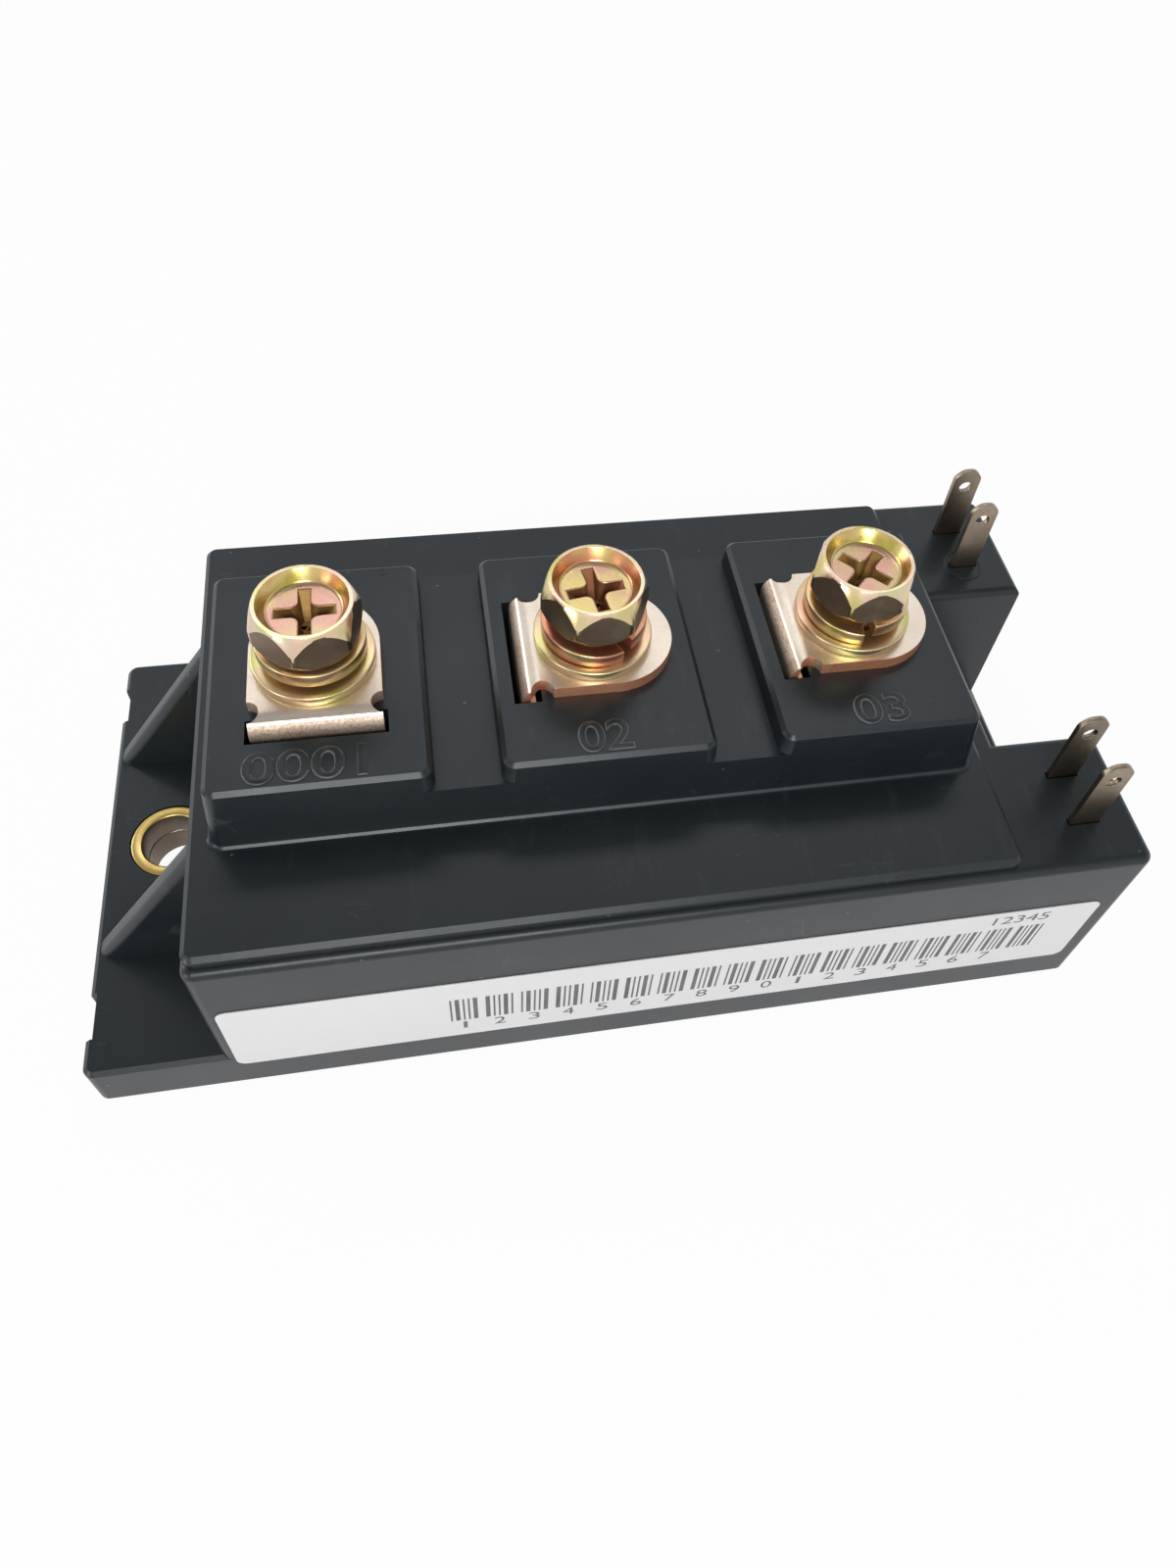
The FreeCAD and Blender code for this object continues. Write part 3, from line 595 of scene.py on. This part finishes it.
# %% Finish: plate and inner parts
plate_nickel = worn_finish("plate_nickel", 1.0, (0.60, 0.58, 0.53), (0.52, 0.49, 0.44), (0.22, 0.42),
                           spots=0.35, spot_tone=(0.30, 0.24, 0.17))
solder_grey = worn_finish("solder_grey", 1.0, (0.55, 0.55, 0.57), (0.42, 0.42, 0.44), (0.30, 0.50))
bare_copper = worn_finish("bare_copper", 1.0, (0.72, 0.36, 0.22), (0.60, 0.27, 0.15), (0.25, 0.42))
fired_ceramic = worn_finish("fired_ceramic", 0.0, (0.82, 0.82, 0.79), (0.76, 0.76, 0.73), (0.55, 0.70))
silicon_chip = worn_finish("silicon_chip", 0.3, (0.10, 0.11, 0.14), (0.15, 0.16, 0.19), (0.12, 0.25))
bond_aluminium = worn_finish("bond_aluminium", 1.0, (0.78, 0.78, 0.79), (0.68, 0.68, 0.70), (0.20, 0.35))
soft_gel = worn_finish("soft_gel", 0.0, (0.66, 0.68, 0.66), (0.60, 0.62, 0.60), (0.10, 0.20))
clear = soft_gel.node_tree.nodes["Principled BSDF"].inputs
clear["Transmission Weight"].default_value = 0.6
clear["IOR"].default_value = 1.41
print(len(bpy.data.materials), "finishes in all")

# %% [markdown]
# Each construction piece takes the finish of its slot. The record of the part says which slot that is,
# so the same table dresses them all. Later pieces may take several finishes, and then a rule says which
# of them each face gets.


# %% Dress the construction pieces
def dress(piece, *finishes, choose=None):
    """Give a piece its finishes, and each face the number of its own, if a rule chooses it."""
    piece.data.materials.clear()
    for finish in finishes:
        piece.data.materials.append(finish)
    if choose:
        for face in piece.data.polygons:
            face.material_index = choose(face)


finish_of = {"case_plastic": case_plastic, "plated_copper": plate_nickel, "bush_metal": bush_brass["left"],
             "label_paper": label_white, "terminal_metal": terminal_metal, "nut_steel": nut_zinc,
             "washer_steel": washer_zinc, "spring_steel": spring_zinc, "screw_steel": screw_zinc,
             "tab_metal": tab_metal, "solder": solder_grey, "bare_copper": bare_copper,
             "substrate_ceramic": fired_ceramic, "silicon": silicon_chip, "bond_aluminium": bond_aluminium,
             "silicone_gel": soft_gel}
for part in frame["record"]["subparts"]:
    dress(nodes[part["node"]], finish_of[part["material_slot"]])

# %% [markdown]
# Now the meshes. Faces and edges are picked in code, by where they are or which way they look, and then
# an operator or a modifier that is applied at once changes them.


# %% Helpers for picking
def back_to_object():
    bpy.ops.object.mode_set(mode="OBJECT")


def pick(piece, kind, wanted):
    """Enter edit mode with only the wanted faces or edges selected, and count them."""
    take(piece)
    bpy.ops.object.mode_set(mode="EDIT")
    bpy.ops.mesh.select_mode(type=kind)
    bpy.ops.mesh.select_all(action="DESELECT")
    back_to_object()
    count = 0
    for item in piece.data.polygons if kind == "FACE" else piece.data.edges:
        item.select = wanted(item)
        count += item.select
    bpy.ops.object.mode_set(mode="EDIT")
    return count


def pick_all(piece):
    take(piece)
    bpy.ops.object.mode_set(mode="EDIT")
    bpy.ops.mesh.select_all(action="SELECT")


# %% [markdown]
# No edge of a real piece is perfectly sharp. One helper rounds the edges that a test picks, and another
# rounds all sharp edges a little and keeps the flat faces flat in the shading.


# %% Helpers for rounding
def change(piece, kind, **settings):
    """Add a modifier with these settings and apply it at once."""
    take(piece)
    modifier = piece.modifiers.new(kind.lower(), kind)
    for setting, value in settings.items():
        setattr(modifier, setting, value)
    bpy.ops.object.modifier_apply(modifier=modifier.name)
    return piece


def round_edges(piece, wanted, offset, segments=3):
    """Round only the edges that a test on their two ends picks."""
    count = pick(piece, "EDGE", lambda edge: wanted(*(piece.data.vertices[i].co for i in edge.vertices)))
    bpy.ops.mesh.bevel(offset=offset, segments=segments)
    back_to_object()
    print(piece.name, "rounded", count, "edges by", round(offset / MM, 2), "mm")


def smooth(piece, angle=35):
    take(piece)
    bpy.ops.object.shade_smooth_by_angle(angle=math.radians(angle))


def soften(piece, width, angle=28):
    """Round every edge sharper than the angle, as tumbling, plating or a worn mould does."""
    change(piece, "BEVEL", width=width, segments=2, limit_method="ANGLE", angle_limit=math.radians(angle),
           harden_normals=False, use_clamp_overlap=True)
    smooth(piece)
    return change(piece, "WEIGHTED_NORMAL", keep_sharp=True, weight=80)


# %% [markdown]
# Where the construction's form is right, its copy is a better start than a new primitive. The copied
# mesh is loose triangles, so its doubled points are merged and its flat areas joined before an edge
# can be rounded. The last helper gives a finished piece to the module.

# %% Helpers for copies and for handing over
MERGED = 2 * MICRON


def copy_of(piece, name):
    """A copy with its own mesh."""
    made = piece.copy()
    made.data = piece.data.copy()
    made.name = name
    made.data.name = name
    bpy.context.scene.collection.objects.link(made)
    return made


def merged_copy(node, name):
    """A free copy of a construction piece, its loose triangles merged and its flat areas joined."""
    piece = copy_of(nodes[node], name)
    piece.parent = None
    for key in list(piece.keys()):
        del piece[key]
    pick_all(piece)
    bpy.ops.mesh.remove_doubles(threshold=MERGED)
    bpy.ops.mesh.dissolve_limited(angle_limit=math.radians(0.6))
    back_to_object()
    return piece


def hand_over(piece, stands_for=()):
    """The finished piece belongs to the module, and takes the place of these construction pieces."""
    settle(piece)
    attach(piece, "root")
    if stands_for:
        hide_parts(*stands_for)
    print(piece.name, len(piece.data.polygons), "faces")


# %% [markdown]
# The cover is one moulding: a shoulder with three terminal blocks that grow out of it. A mould always
# leaves a small radius, and that radius catches the light as the thin pale line along every edge. Such
# edges could be modelled one by one, but the construction has the exact form already. So its copy gets
# a wide rounding where the blocks meet the shoulder, and a fine one on every other sharp edge.

# %% Cover
mould_radius = 0.00010
shoulder_level = 0.0233
blocks_reach = Vector((0.0330, 0.0130))
lid = merged_copy("cover", "cover_moulding")
round_edges(lid, lambda a, b: all(abs(end.z - shoulder_level) < 0.00002 and abs(end.x) < blocks_reach.x
                                  and abs(end.y) < blocks_reach.y for end in (a, b)), 0.00050)
hand_over(soften(lid, mould_radius), ["cover"])

# %% [markdown]
# The case is the larger moulding, with a screw flange at one end, two towers at the other, and two
# sloped ribs that brace the flange. The ribs have round backs, so that the moulding leaves its mould
# easily. They could be made anew as two bent bars. Here their outer faces are moved outwards and the
# sloped edges rounded, which keeps them one with the wall and the flange.

# %% Case
rib_outer_y = 0.0106
rib_growth = 0.0012
slope_reach = 0.005
shell = merged_copy("case_frame", "case_moulding")
for side in (-1, 1):
    outer_faces = pick(shell, "FACE", lambda face: side * face.normal.y > 0.99
                       and face.center.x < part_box("cover")[0].x
                       and abs(side * face.center.y - rib_outer_y) < 0.00002)
    bpy.ops.transform.translate(value=(0, side * rib_growth, 0))
    back_to_object()
    print("rib", side, outer_faces, "outer faces moved")
round_edges(shell, lambda a, b: abs(a.x - b.x) > slope_reach and abs(a.z - b.z) > slope_reach, 0.00085, 5)
hand_over(soften(shell, mould_radius), ["case_frame"])

# %% [markdown]
# The base plate is sawn from nickel coated copper, then deburred, so its edges are just broken. The drill
# went through bush and plate in one pass, and both bores are painted the same dull brown as painted shade.

# %% Base plate
bore_reach = 0.0029


def plate_side(face):
    """0 the plate's faces, 1 the walls of its two holes."""
    to_hole = math.hypot(abs(face.center.x) - hole_x["right"], face.center.y)
    return 1 if to_hole < bore_reach and abs(face.normal.z) < 0.6 else 0


plate = soften(merged_copy("base_plate", "milled_plate"), 0.00015)
# The walls of the holes take the painted bore shade.
dress(plate, plate_nickel, bore_shade_brown, choose=plate_side)
hand_over(plate, ["base_plate"])

# %% [markdown]
# The terminal strips are softened the same way, because the punch rounds one side of the strip. Each
# could be three meshes, one for each finish, but then the seams would show. So each face is given to
# its finish by the way it looks: upwards and outwards along the bend it is coated, and sideways it is
# bare copper.

# %% Terminal strips
strip_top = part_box("main_terminal_1")[1].z
bend_drop = 0.0004


def strip_side(face, out_of_bend):
    """0 the coat, 1 the crazed bend, 2 the bare cut edge."""
    along_bend = face.normal.dot(out_of_bend)
    if abs(face.normal.z) > 0.8:
        return 0
    if along_bend > 0.5 and face.center.z < strip_top - bend_drop:
        return 1
    if along_bend ** 2 + face.normal.z ** 2 > 0.9 and abs(face.normal.z) > 0.05:
        return 0
    return 2


for index, out_of_bend in enumerate((Vector((0, -1, 0)), Vector((-1, 0, 0)), Vector((-1, 0, 0)))):
    node = "main_terminal_" + str(index + 1)
    strip = soften(merged_copy(node, "terminal_strip_" + str(index + 1)), 0.00009)
    dress(strip, terminal_metal, bend_metal, cut_copper, choose=lambda face: strip_side(face, out_of_bend))
    hand_over(strip, [node])

# %% [markdown]
# The signal tabs are stamped from thin sheet. The stamp rounds the corners of each tip, so that a push-on
# contact slides over it, and leaves all other edges only a little soft.

# %% Signal tabs
tab_x = 0.041
for index in range(4):
    node = "signal_tab_" + str(index + 1)
    tab = merged_copy(node, "tab_blade_" + str(index + 1))
    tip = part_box(node)[1].z
    round_edges(tab, lambda a, b: abs(a.y - b.y) > 0.0003 and min(a.z, b.z) > tip - 0.0010
                and abs(a.z - b.z) < 0.00001 and abs(a.x - tab_x) > 0.0004, 0.00035)
    hand_over(soften(tab, 0.00006), [node])

# %% [markdown]
# Washers, bushes and small round marks are all rings. A ring could be cut from a cylinder, but its rim
# would need rounding after. Instead its section is drawn once as a small upright face beside the axis,
# its corners are rounded, and it is spun round the axis in one full turn.


# %% Helpers for spun rings
def face_out(piece):
    """Merge what a spin or a cut left doubled, and turn every face outwards."""
    pick_all(piece)
    bpy.ops.mesh.remove_doubles(threshold=MERGED)
    bpy.ops.mesh.normals_make_consistent(inside=False)
    back_to_object()


def ring_section(inner, outer, bottom, top, rounding):
    """Upright section of a ring on the +X side of the Z axis, with round corners."""
    bpy.ops.mesh.primitive_plane_add(size=1, location=((inner + outer) / 2, 0, (bottom + top) / 2),
                                     rotation=(math.radians(90), 0, 0))
    section = named("section")
    section.scale = (outer - inner, top - bottom, 1)
    settle(section)
    pick_all(section)
    bpy.ops.mesh.bevel(offset=rounding, segments=3, affect="VERTICES")
    back_to_object()
    return section


def spun_ring(name, inner, outer, bottom, top, rounding, steps=96):
    ring = ring_section(inner, outer, bottom, top, rounding)
    pick_all(ring)
    bpy.ops.mesh.spin(steps=steps, angle=math.tau, center=(0, 0, 0), axis=(0, 0, 1), use_auto_merge=True)
    bpy.ops.mesh.select_all(action="SELECT")
    bpy.ops.mesh.remove_doubles(threshold=MERGED)
    bpy.ops.mesh.select_all(action="DESELECT")
    back_to_object()
    # the drawn section stays inside the ring as loose inner faces, which go
    pick(ring, "FACE", lambda face: abs(face.normal.y) > 0.9999 and abs(face.center.y) < MICRON
         and len(face.vertices) > 4)
    bpy.ops.mesh.delete(type="ONLY_FACE")
    back_to_object()
    face_out(ring)
    smooth(ring)
    return named(name)


# %% [markdown]
# A flat washer is punched from sheet, plated and tumbled, so its rim is round and smooth. The three are
# alike: one ring is spun on the axis, and each washer is a copy of it under its screw.

# %% Flat washers
bore_radius = 0.0027
screw_xs = [sum(corner.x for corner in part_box("terminal_screw_" + n)) / 2 for n in "123"]
washer_low, washer_high = (corner.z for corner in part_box("flat_washer_1"))
washer = spun_ring("washer_pattern", bore_radius, 0.0050, washer_low, washer_high, 0.00014)
for index, x in enumerate(screw_xs):
    flat = copy_of(washer, "washer_ring_" + str(index + 1))
    flat.location = (x, 0, 0)
    dress(flat, washer_zinc)
    hand_over(flat, ["flat_washer_" + str(index + 1)])
bpy.data.objects.remove(washer)

# %% [markdown]
# A spring washer is a piece of square wire wound for almost one turn, with its ends sprung apart. The
# Screw modifier winds a section round the axis while it moves along it, which is just how the wire is
# wound. The two open ends are then closed.

# %% Spring washers
spring_low, spring_high = (corner.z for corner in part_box("spring_washer_1"))
wire_height = 0.0013
wire_rim = 0.0044
spring_gap = math.radians(9)
gap_bearings = (150, 301, 268)
spring = ring_section(bore_radius, wire_rim, spring_high - wire_height, spring_high, 0.00012)
pick_all(spring)
bpy.ops.mesh.delete(type="ONLY_FACE")
back_to_object()
change(spring, "SCREW", axis="Z", angle=math.tau - spring_gap, steps=90, render_steps=90,
       screw_offset=-(spring_high - spring_low - wire_height), use_normal_calculate=True)
pick_all(spring)
bpy.ops.mesh.fill_holes(sides=0)
back_to_object()
face_out(spring)
for index, (x, bearing) in enumerate(zip(screw_xs, gap_bearings)):
    coil = copy_of(spring, "spring_ring_" + str(index + 1))
    coil.rotation_euler.z = math.radians(bearing) + spring_gap / 2
    coil.location = (x, 0, 0)
    settle(coil)
    soften(coil, 0.00005, angle=50)
    dress(coil, redder_spring_zinc if index == 1 else spring_zinc)
    hand_over(coil, ["spring_washer_" + str(index + 1)])
bpy.data.objects.remove(spring)

# %% [markdown]
# The screw head begins as a six-sided bar. A shallow cone, larger than the bar, takes its top corners
# off, and a second one the lower corners, which leaves the curved borders that every cold-headed
# hexagon has. A bevel could break the corners too, but its borders would be straight. A tapered punch
# then sinks the dish.

# %% Screw head
across_flats = 0.008
corner_radius = across_flats / math.sqrt(3)
head_low, head_high = spring_high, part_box("terminal_screw_1")[1].z
proud = 0.0001


def cut_away(piece, tool, operation="DIFFERENCE"):
    """Cut one mesh with another, and drop the tool."""
    change(piece, "BOOLEAN", operation=operation, object=tool, solver="EXACT")
    bpy.data.objects.remove(tool)
    return piece


def corners_off(rim, depth, upper):
    """Keep of the head what lies inside a cone that is rim wide at the head's end."""
    reach = 2 * corner_radius
    height = (reach - rim) * depth / (corner_radius - rim)
    radii = (reach, rim) if upper else (rim, reach)
    middle = head_high - height / 2 if upper else head_low + height / 2
    bpy.ops.mesh.primitive_cone_add(vertices=120, radius1=radii[0], radius2=radii[1], depth=height,
                                    location=(0, 0, middle))
    cut_away(head, settle(named("cone")), "INTERSECT")


bpy.ops.mesh.primitive_cylinder_add(vertices=6, radius=corner_radius, depth=head_high - head_low,
                                    location=(0, 0, (head_low + head_high) / 2),
                                    rotation=(0, 0, math.radians(30)))
head = named("head_pattern")
settle(head)
round_edges(head, lambda a, b: abs(a.z - b.z) > 0.001, 0.00030, 4)
corners_off(0.00388, 0.0018, upper=True)
corners_off(0.00405, 0.0010, upper=False)
dish_deep = 0.0012
dish_floor = head_high - dish_deep
bpy.ops.mesh.primitive_cone_add(vertices=120, radius1=0.00300, radius2=0.00364, depth=dish_deep + proud,
                                location=(0, 0, head_high - (dish_deep - proud) / 2))
dish = settle(named("dish_punch"))
round_edges(dish, lambda a, b: max(a.z, b.z) < dish_floor + 0.00001, 0.00026, 4)
cut_away(head, dish)
print("head", len(head.data.polygons), "faces,", round(head.dimensions.x / MM, 2), "mm over corners")

# %% [markdown]
# The cross is pressed by a punch that narrows towards its tips, so that it comes out again. Two blades
# are made, tapered and joined, and the inner corners between them filleted, as a driver wears them.


# %% Cross recess
cross_span, blade_width, punch_height = 0.0049, 0.00095, 0.0021
end_taper, side_taper = 0.30, 0.55


def cross_punch():
    """Two crossed blades that narrow downwards, with filleted inner corners."""
    blades = []
    for turn in (0, 90):
        bpy.ops.mesh.primitive_cube_add(size=1, location=(0, 0, 0), rotation=(0, 0, math.radians(turn)))
        blade = named("blade")
        blade.scale = (cross_span, blade_width, punch_height)
        settle(blade)
        pick(blade, "FACE", lambda face: face.normal.z < -0.9)
        along_x, along_y = (end_taper, side_taper) if turn == 0 else (side_taper, end_taper)
        bpy.ops.transform.resize(value=(along_x, along_y, 1))
        back_to_object()
        blades.append(blade)
    punch = cut_away(blades[0], blades[1], "UNION")
    round_edges(punch, lambda a, b: abs(a.z - b.z) > 0.001
                and all(abs(abs(end.x) - abs(end.y)) < 0.0001 and abs(end.x) < 0.0009 for end in (a, b)),
                0.00065, 5)
    punch.location.z = dish_floor + proud - punch_height / 2
    return settle(punch)


print("cross", round(cross_span / MM, 2), "mm long,", round((punch_height - proud) / MM, 2), "mm deep")

# %% [markdown]
# The thread is rolled: a ridge runs round the rod, 0.8 mm from turn to turn. A bump could suggest it, but
# then the outline of the rod would stay straight. So a small triangle is wound up the rod by the Screw
# modifier, and its ends are closed.

# %% Thread
pitch = 0.0008
thread_turns = 13
core_radius, crest_radius, ridge_size = 0.0021, 0.0025, 0.00040


def join(pieces, name):
    nothing_selected()
    for piece in pieces:
        piece.select_set(True)
    bpy.context.view_layer.objects.active = pieces[0]
    bpy.ops.object.join()
    return named(name)


def threaded_shank():
    """A rod with a chamfered tip and a ridge wound round it."""
    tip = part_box("terminal_screw_1")[0].z
    bpy.ops.mesh.primitive_cylinder_add(vertices=48, radius=core_radius, depth=head_low - tip + proud,
                                        location=(0, 0, (head_low + tip + proud) / 2))
    rod = settle(named("rod"))
    round_edges(rod, lambda a, b: max(a.z, b.z) < tip + 0.00001, 0.0004, 2)
    bpy.ops.mesh.primitive_circle_add(vertices=3, radius=ridge_size, location=(0, 0, 0), fill_type="NOTHING",
                                      rotation=(math.radians(90), 0, 0))
    ridge = settle(named("ridge"))
    pick_all(ridge)
    bpy.ops.transform.rotate(value=math.radians(90), orient_axis="Y", center_override=(0, 0, 0))
    back_to_object()
    widest = max(v.co.x for v in ridge.data.vertices)
    lowest = min(v.co.z for v in ridge.data.vertices)
    ridge.location = (crest_radius - widest, 0, tip + 0.0003 - lowest)
    settle(ridge)
    change(ridge, "SCREW", axis="Z", angle=math.tau, screw_offset=pitch, iterations=thread_turns, steps=32,
           render_steps=32, use_merge_vertices=True, merge_threshold=MERGED)
    pick_all(ridge)
    bpy.ops.mesh.fill_holes(sides=0)
    back_to_object()
    face_out(ridge)
    face_out(rod)
    return join([rod, ridge], "shank_pattern")


shank = threaded_shank()
smooth(shank, 30)
print("shank", [round(v / MM, 2) for v in shank.dimensions], "mm")

# %% [markdown]
# Every screw stopped at its own angle, so each head is a copy that is turned first and cut with the
# cross after. The dish gets its own finish: the film dries thicker in a hollow, and looks pinker. The
# middle screw comes from another batch, whose film is redder.

# %% Three screws
dish_reach = 0.00366
cross_reach = 0.0026
head_turns, cross_turns = (18, 3, 1), (0, 9, 45)
plain_tints = (dish_zinc, recess_shade_zinc, dish_wall_zinc)
redder_tints = (redder_dish_zinc, redder_recess_shade_zinc, redder_wall_zinc)


def head_side(face, head_turn):
    """0 the outside, 1 the dish's floor, 2 the cross, 3 the dish's wall, 4 the six flats."""
    height = face.center.z
    inside = math.hypot(face.center.x, face.center.y) < dish_reach and height > head_low + 0.0004
    if inside and height < dish_floor - 0.00006:
        return 2
    if inside and height < head_high - 0.00003:
        return 3 if face.normal.z < 0.9 and height > dish_floor + 0.00002 else 1
    bearing = (math.degrees(math.atan2(face.normal.y, face.normal.x)) - head_turn) % 60
    return 4 if not inside and abs(face.normal.z) < 0.05 and abs(bearing - 30) < 4 else 0


for index, (x, head_turn, cross_turn) in enumerate(zip(screw_xs, head_turns, cross_turns)):
    top = copy_of(head, "head")
    top.rotation_euler.z = math.radians(head_turn)
    settle(top)
    punch = cross_punch()
    punch.rotation_euler.z = math.radians(cross_turn)
    settle(punch)
    cut_away(top, punch)
    face_out(top)
    round_edges(top, lambda a, b: all(abs(end.z - dish_floor) < 0.00001
                                      and math.hypot(end.x, end.y) < cross_reach for end in (a, b)),
                0.00015, 2)
    soften(top, 0.00008, angle=24)
    # The cross takes the painted recess shade, and the six flats the painted dark reflection.
    dress(top, screw_zinc, *(redder_tints if index == 1 else plain_tints), flats_painted_reflection_zinc,
          choose=lambda face: head_side(face, head_turn))
    stem = copy_of(shank, "stem")
    # The shank takes the painted recess shade too.
    dress(stem, recess_shade_zinc)
    screw = join([top, stem], "screw_" + str(index + 1))
    screw.location = (x, 0, 0)
    hand_over(screw, ["terminal_screw_" + str(index + 1)])
bpy.data.objects.remove(head)
bpy.data.objects.remove(shank)

# %% [markdown]
# The bushes are turned rings, pressed into the case so that a screw can be pulled tight without crushing
# the plastic. They are spun like the washers, with a wider rounding at the mouth of the hole.

# %% Bushes
for side, x in hole_x.items():
    low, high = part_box("mounting_bush_" + side)
    bush = spun_ring("bush_ring_" + side, 0.0028, 0.0039, low.z, high.z, 0.00022)
    bush.location = (x, 0, 0)
    # The inside of the bore takes the painted shade brown.
    dress(bush, bush_brass[side], bore_shade_brown,
          choose=lambda face: 1 if math.hypot(face.center.x, face.center.y) < 0.00285 else 0)
    hand_over(bush, ["mounting_bush_" + side])

# %% [markdown]
# The label is a thin film with round corners, pressed on the front wall. It could be a flat plane with
# a hair of distance, but a film with a real edge catches a line of light, so it is a thin block with
# four rounded corners.

# %% Label film
low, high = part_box("label")
ink_depth = 10 * MICRON
bpy.ops.mesh.primitive_cube_add(size=1, location=((low.x + high.x) / 2, (low.y + high.y + ink_depth) / 2,
                                                  (low.z + high.z) / 2))
film = named("label_film")
film.scale = (high.x - low.x, high.y - low.y - ink_depth, high.z - low.z)
settle(film)
round_edges(film, lambda a, b: abs(a.y - b.y) > 0.00005, 0.0009, 6)
soften(film, 0.00003, angle=40)
dress(film, label_white)
hand_over(film, ["label"])
ink_y = low.y + ink_depth

# %% [markdown]
# The print is generic: rows of plain bars and counting numbers, set in places where such a label has
# them. The bars stand in groups of five, one group over each number. Two groups are drawn and the pair
# is repeated by an Array modifier, so the row looks lively and still says nothing.

# %% Printed bars
group_pitch = 3.05 * MM
first_bar = -14.9 * MM
thin, thick, space = 0.16 * MM, 0.38 * MM, 0.28 * MM
bar_low, bar_high = 0.0076, 0.0120
strokes = []
for group, widths in enumerate(((thin, thick, thin, thin, thick), (thick, thin, thin, thick, thin))):
    left = first_bar + group * group_pitch
    for width in widths:
        bpy.ops.mesh.primitive_cube_add(size=1, location=(left + width / 2, ink_y, (bar_low + bar_high) / 2))
        stroke = named("stroke")
        stroke.scale = (width, 2 * ink_depth, bar_high - bar_low)
        strokes.append(settle(stroke))
        left += width + space
pattern = join(strokes, "printed_bars")
change(pattern, "ARRAY", count=9, use_relative_offset=False, use_constant_offset=True,
       constant_offset_displace=(2 * group_pitch, 0, 0))
dress(pattern, print_ink)
hand_over(pattern)
print("bars reach x =", round(max(v.co.x for v in pattern.data.vertices) / MM, 2), "mm")

# %% [markdown]
# Numbers start as a text object, which draws them from Blender's own font. They could be built of small
# bars, but no printer's digits look like that. Text can't be fitted to a given width, so it is made a
# mesh first, and then scaled, turned and placed like any other piece.


# %% Printed numbers
def lettered(body, extent, place, turn, height, bevel, name):
    """Numbers as a solid mesh: drawn flat, given a thickness, fitted to a width and height, and placed."""
    bpy.ops.object.text_add(location=(0, 0, 0))
    text = named(name)
    text.data.body = body
    text.data.size = extent[1]
    text.data.extrude = height / 2
    text.data.bevel_depth = bevel
    text.data.bevel_resolution = 1
    text.data.align_x = "CENTER"
    take(text)
    bpy.ops.object.convert(target="MESH")
    text = bpy.context.object
    text.scale = (extent[0] / text.dimensions.x, extent[1] / text.dimensions.y, 1)
    settle(text)
    text.rotation_euler = turn
    text.location = place
    settle(text)
    face_out(text)
    return text


def printed(body, width, x, z):
    """Flat print on the front of the label, 1.4 mm high."""
    return lettered(body, (width, 0.0014), (x, ink_y, z), (math.radians(90), 0, 0), ink_depth, 0, "digit")


first_digit = -13.7 * MM
digits = [printed("12345", 0.0054, 0.0363, 0.0130)]
for k in range(17):
    number = str((k + 1) % 10)
    width = 0.00035 if number == "1" else 0.0010
    digits.append(printed(number, width, first_digit + group_pitch * k, 0.0058))
numbers = join(digits, "printed_numbers")
dress(numbers, print_ink)
hand_over(numbers)

# %% [markdown]
# The blocks carry raised numbers in front of the terminals, moulded with the cover, so that the three
# screws can't be mistaken for each other. They are plain counting numbers, some with leading zeros.
# Their sloped sides are painted paler than their tops, a painted highlight along the glyph edges.

# %% Raised numbers
block_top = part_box("cover")[1].z
for number, width, x, y in (("0001", 0.0096, -0.0237, -0.0110), ("02", 0.0045, -0.0005, -0.0110),
                            ("03", 0.0048, 0.0231, -0.0109)):
    raised = lettered(number, (width, 0.0031), (x, y, block_top + 0.00002), (0, 0, 0), 0.00008, 0.00009,
                      "raised_number_" + number[-1])
    # Painted highlight: the sloped sides take the paler plastic, the tops the case plastic.
    dress(raised, case_plastic, painted_highlight_plastic, choose=lambda face: 0 if face.normal.z > 0.97 else 1)
    smooth(raised, 50)
    hand_over(raised)

# %% [markdown]
# The mould leaves marks of its own. A pin that pushed the cover out left a small round dot on the left
# block, and the insert that holds the rear inner tab left a low ring round it. Both are spun rings that
# stand a few hundredths of a millimetre out of the face.

# %% Marks of the mould
case_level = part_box("case_frame")[1].z
sunk = 0.00005
tab_ring = spun_ring("tab_ring", 0.00175, 0.00215, case_level - sunk, case_level + 0.00009, 0.00006, 64)
tab_ring.location = (tab_x, 0.0131, 0)
pin_dot = spun_ring("pin_dot", 0.00020, 0.00045, block_top - sunk, block_top + 0.00003, 0.00002, 32)
pin_dot.location = (-0.0174, 0.0104, 0)
for mark in (tab_ring, pin_dot):
    dress(mark, case_plastic)
    hand_over(mark)
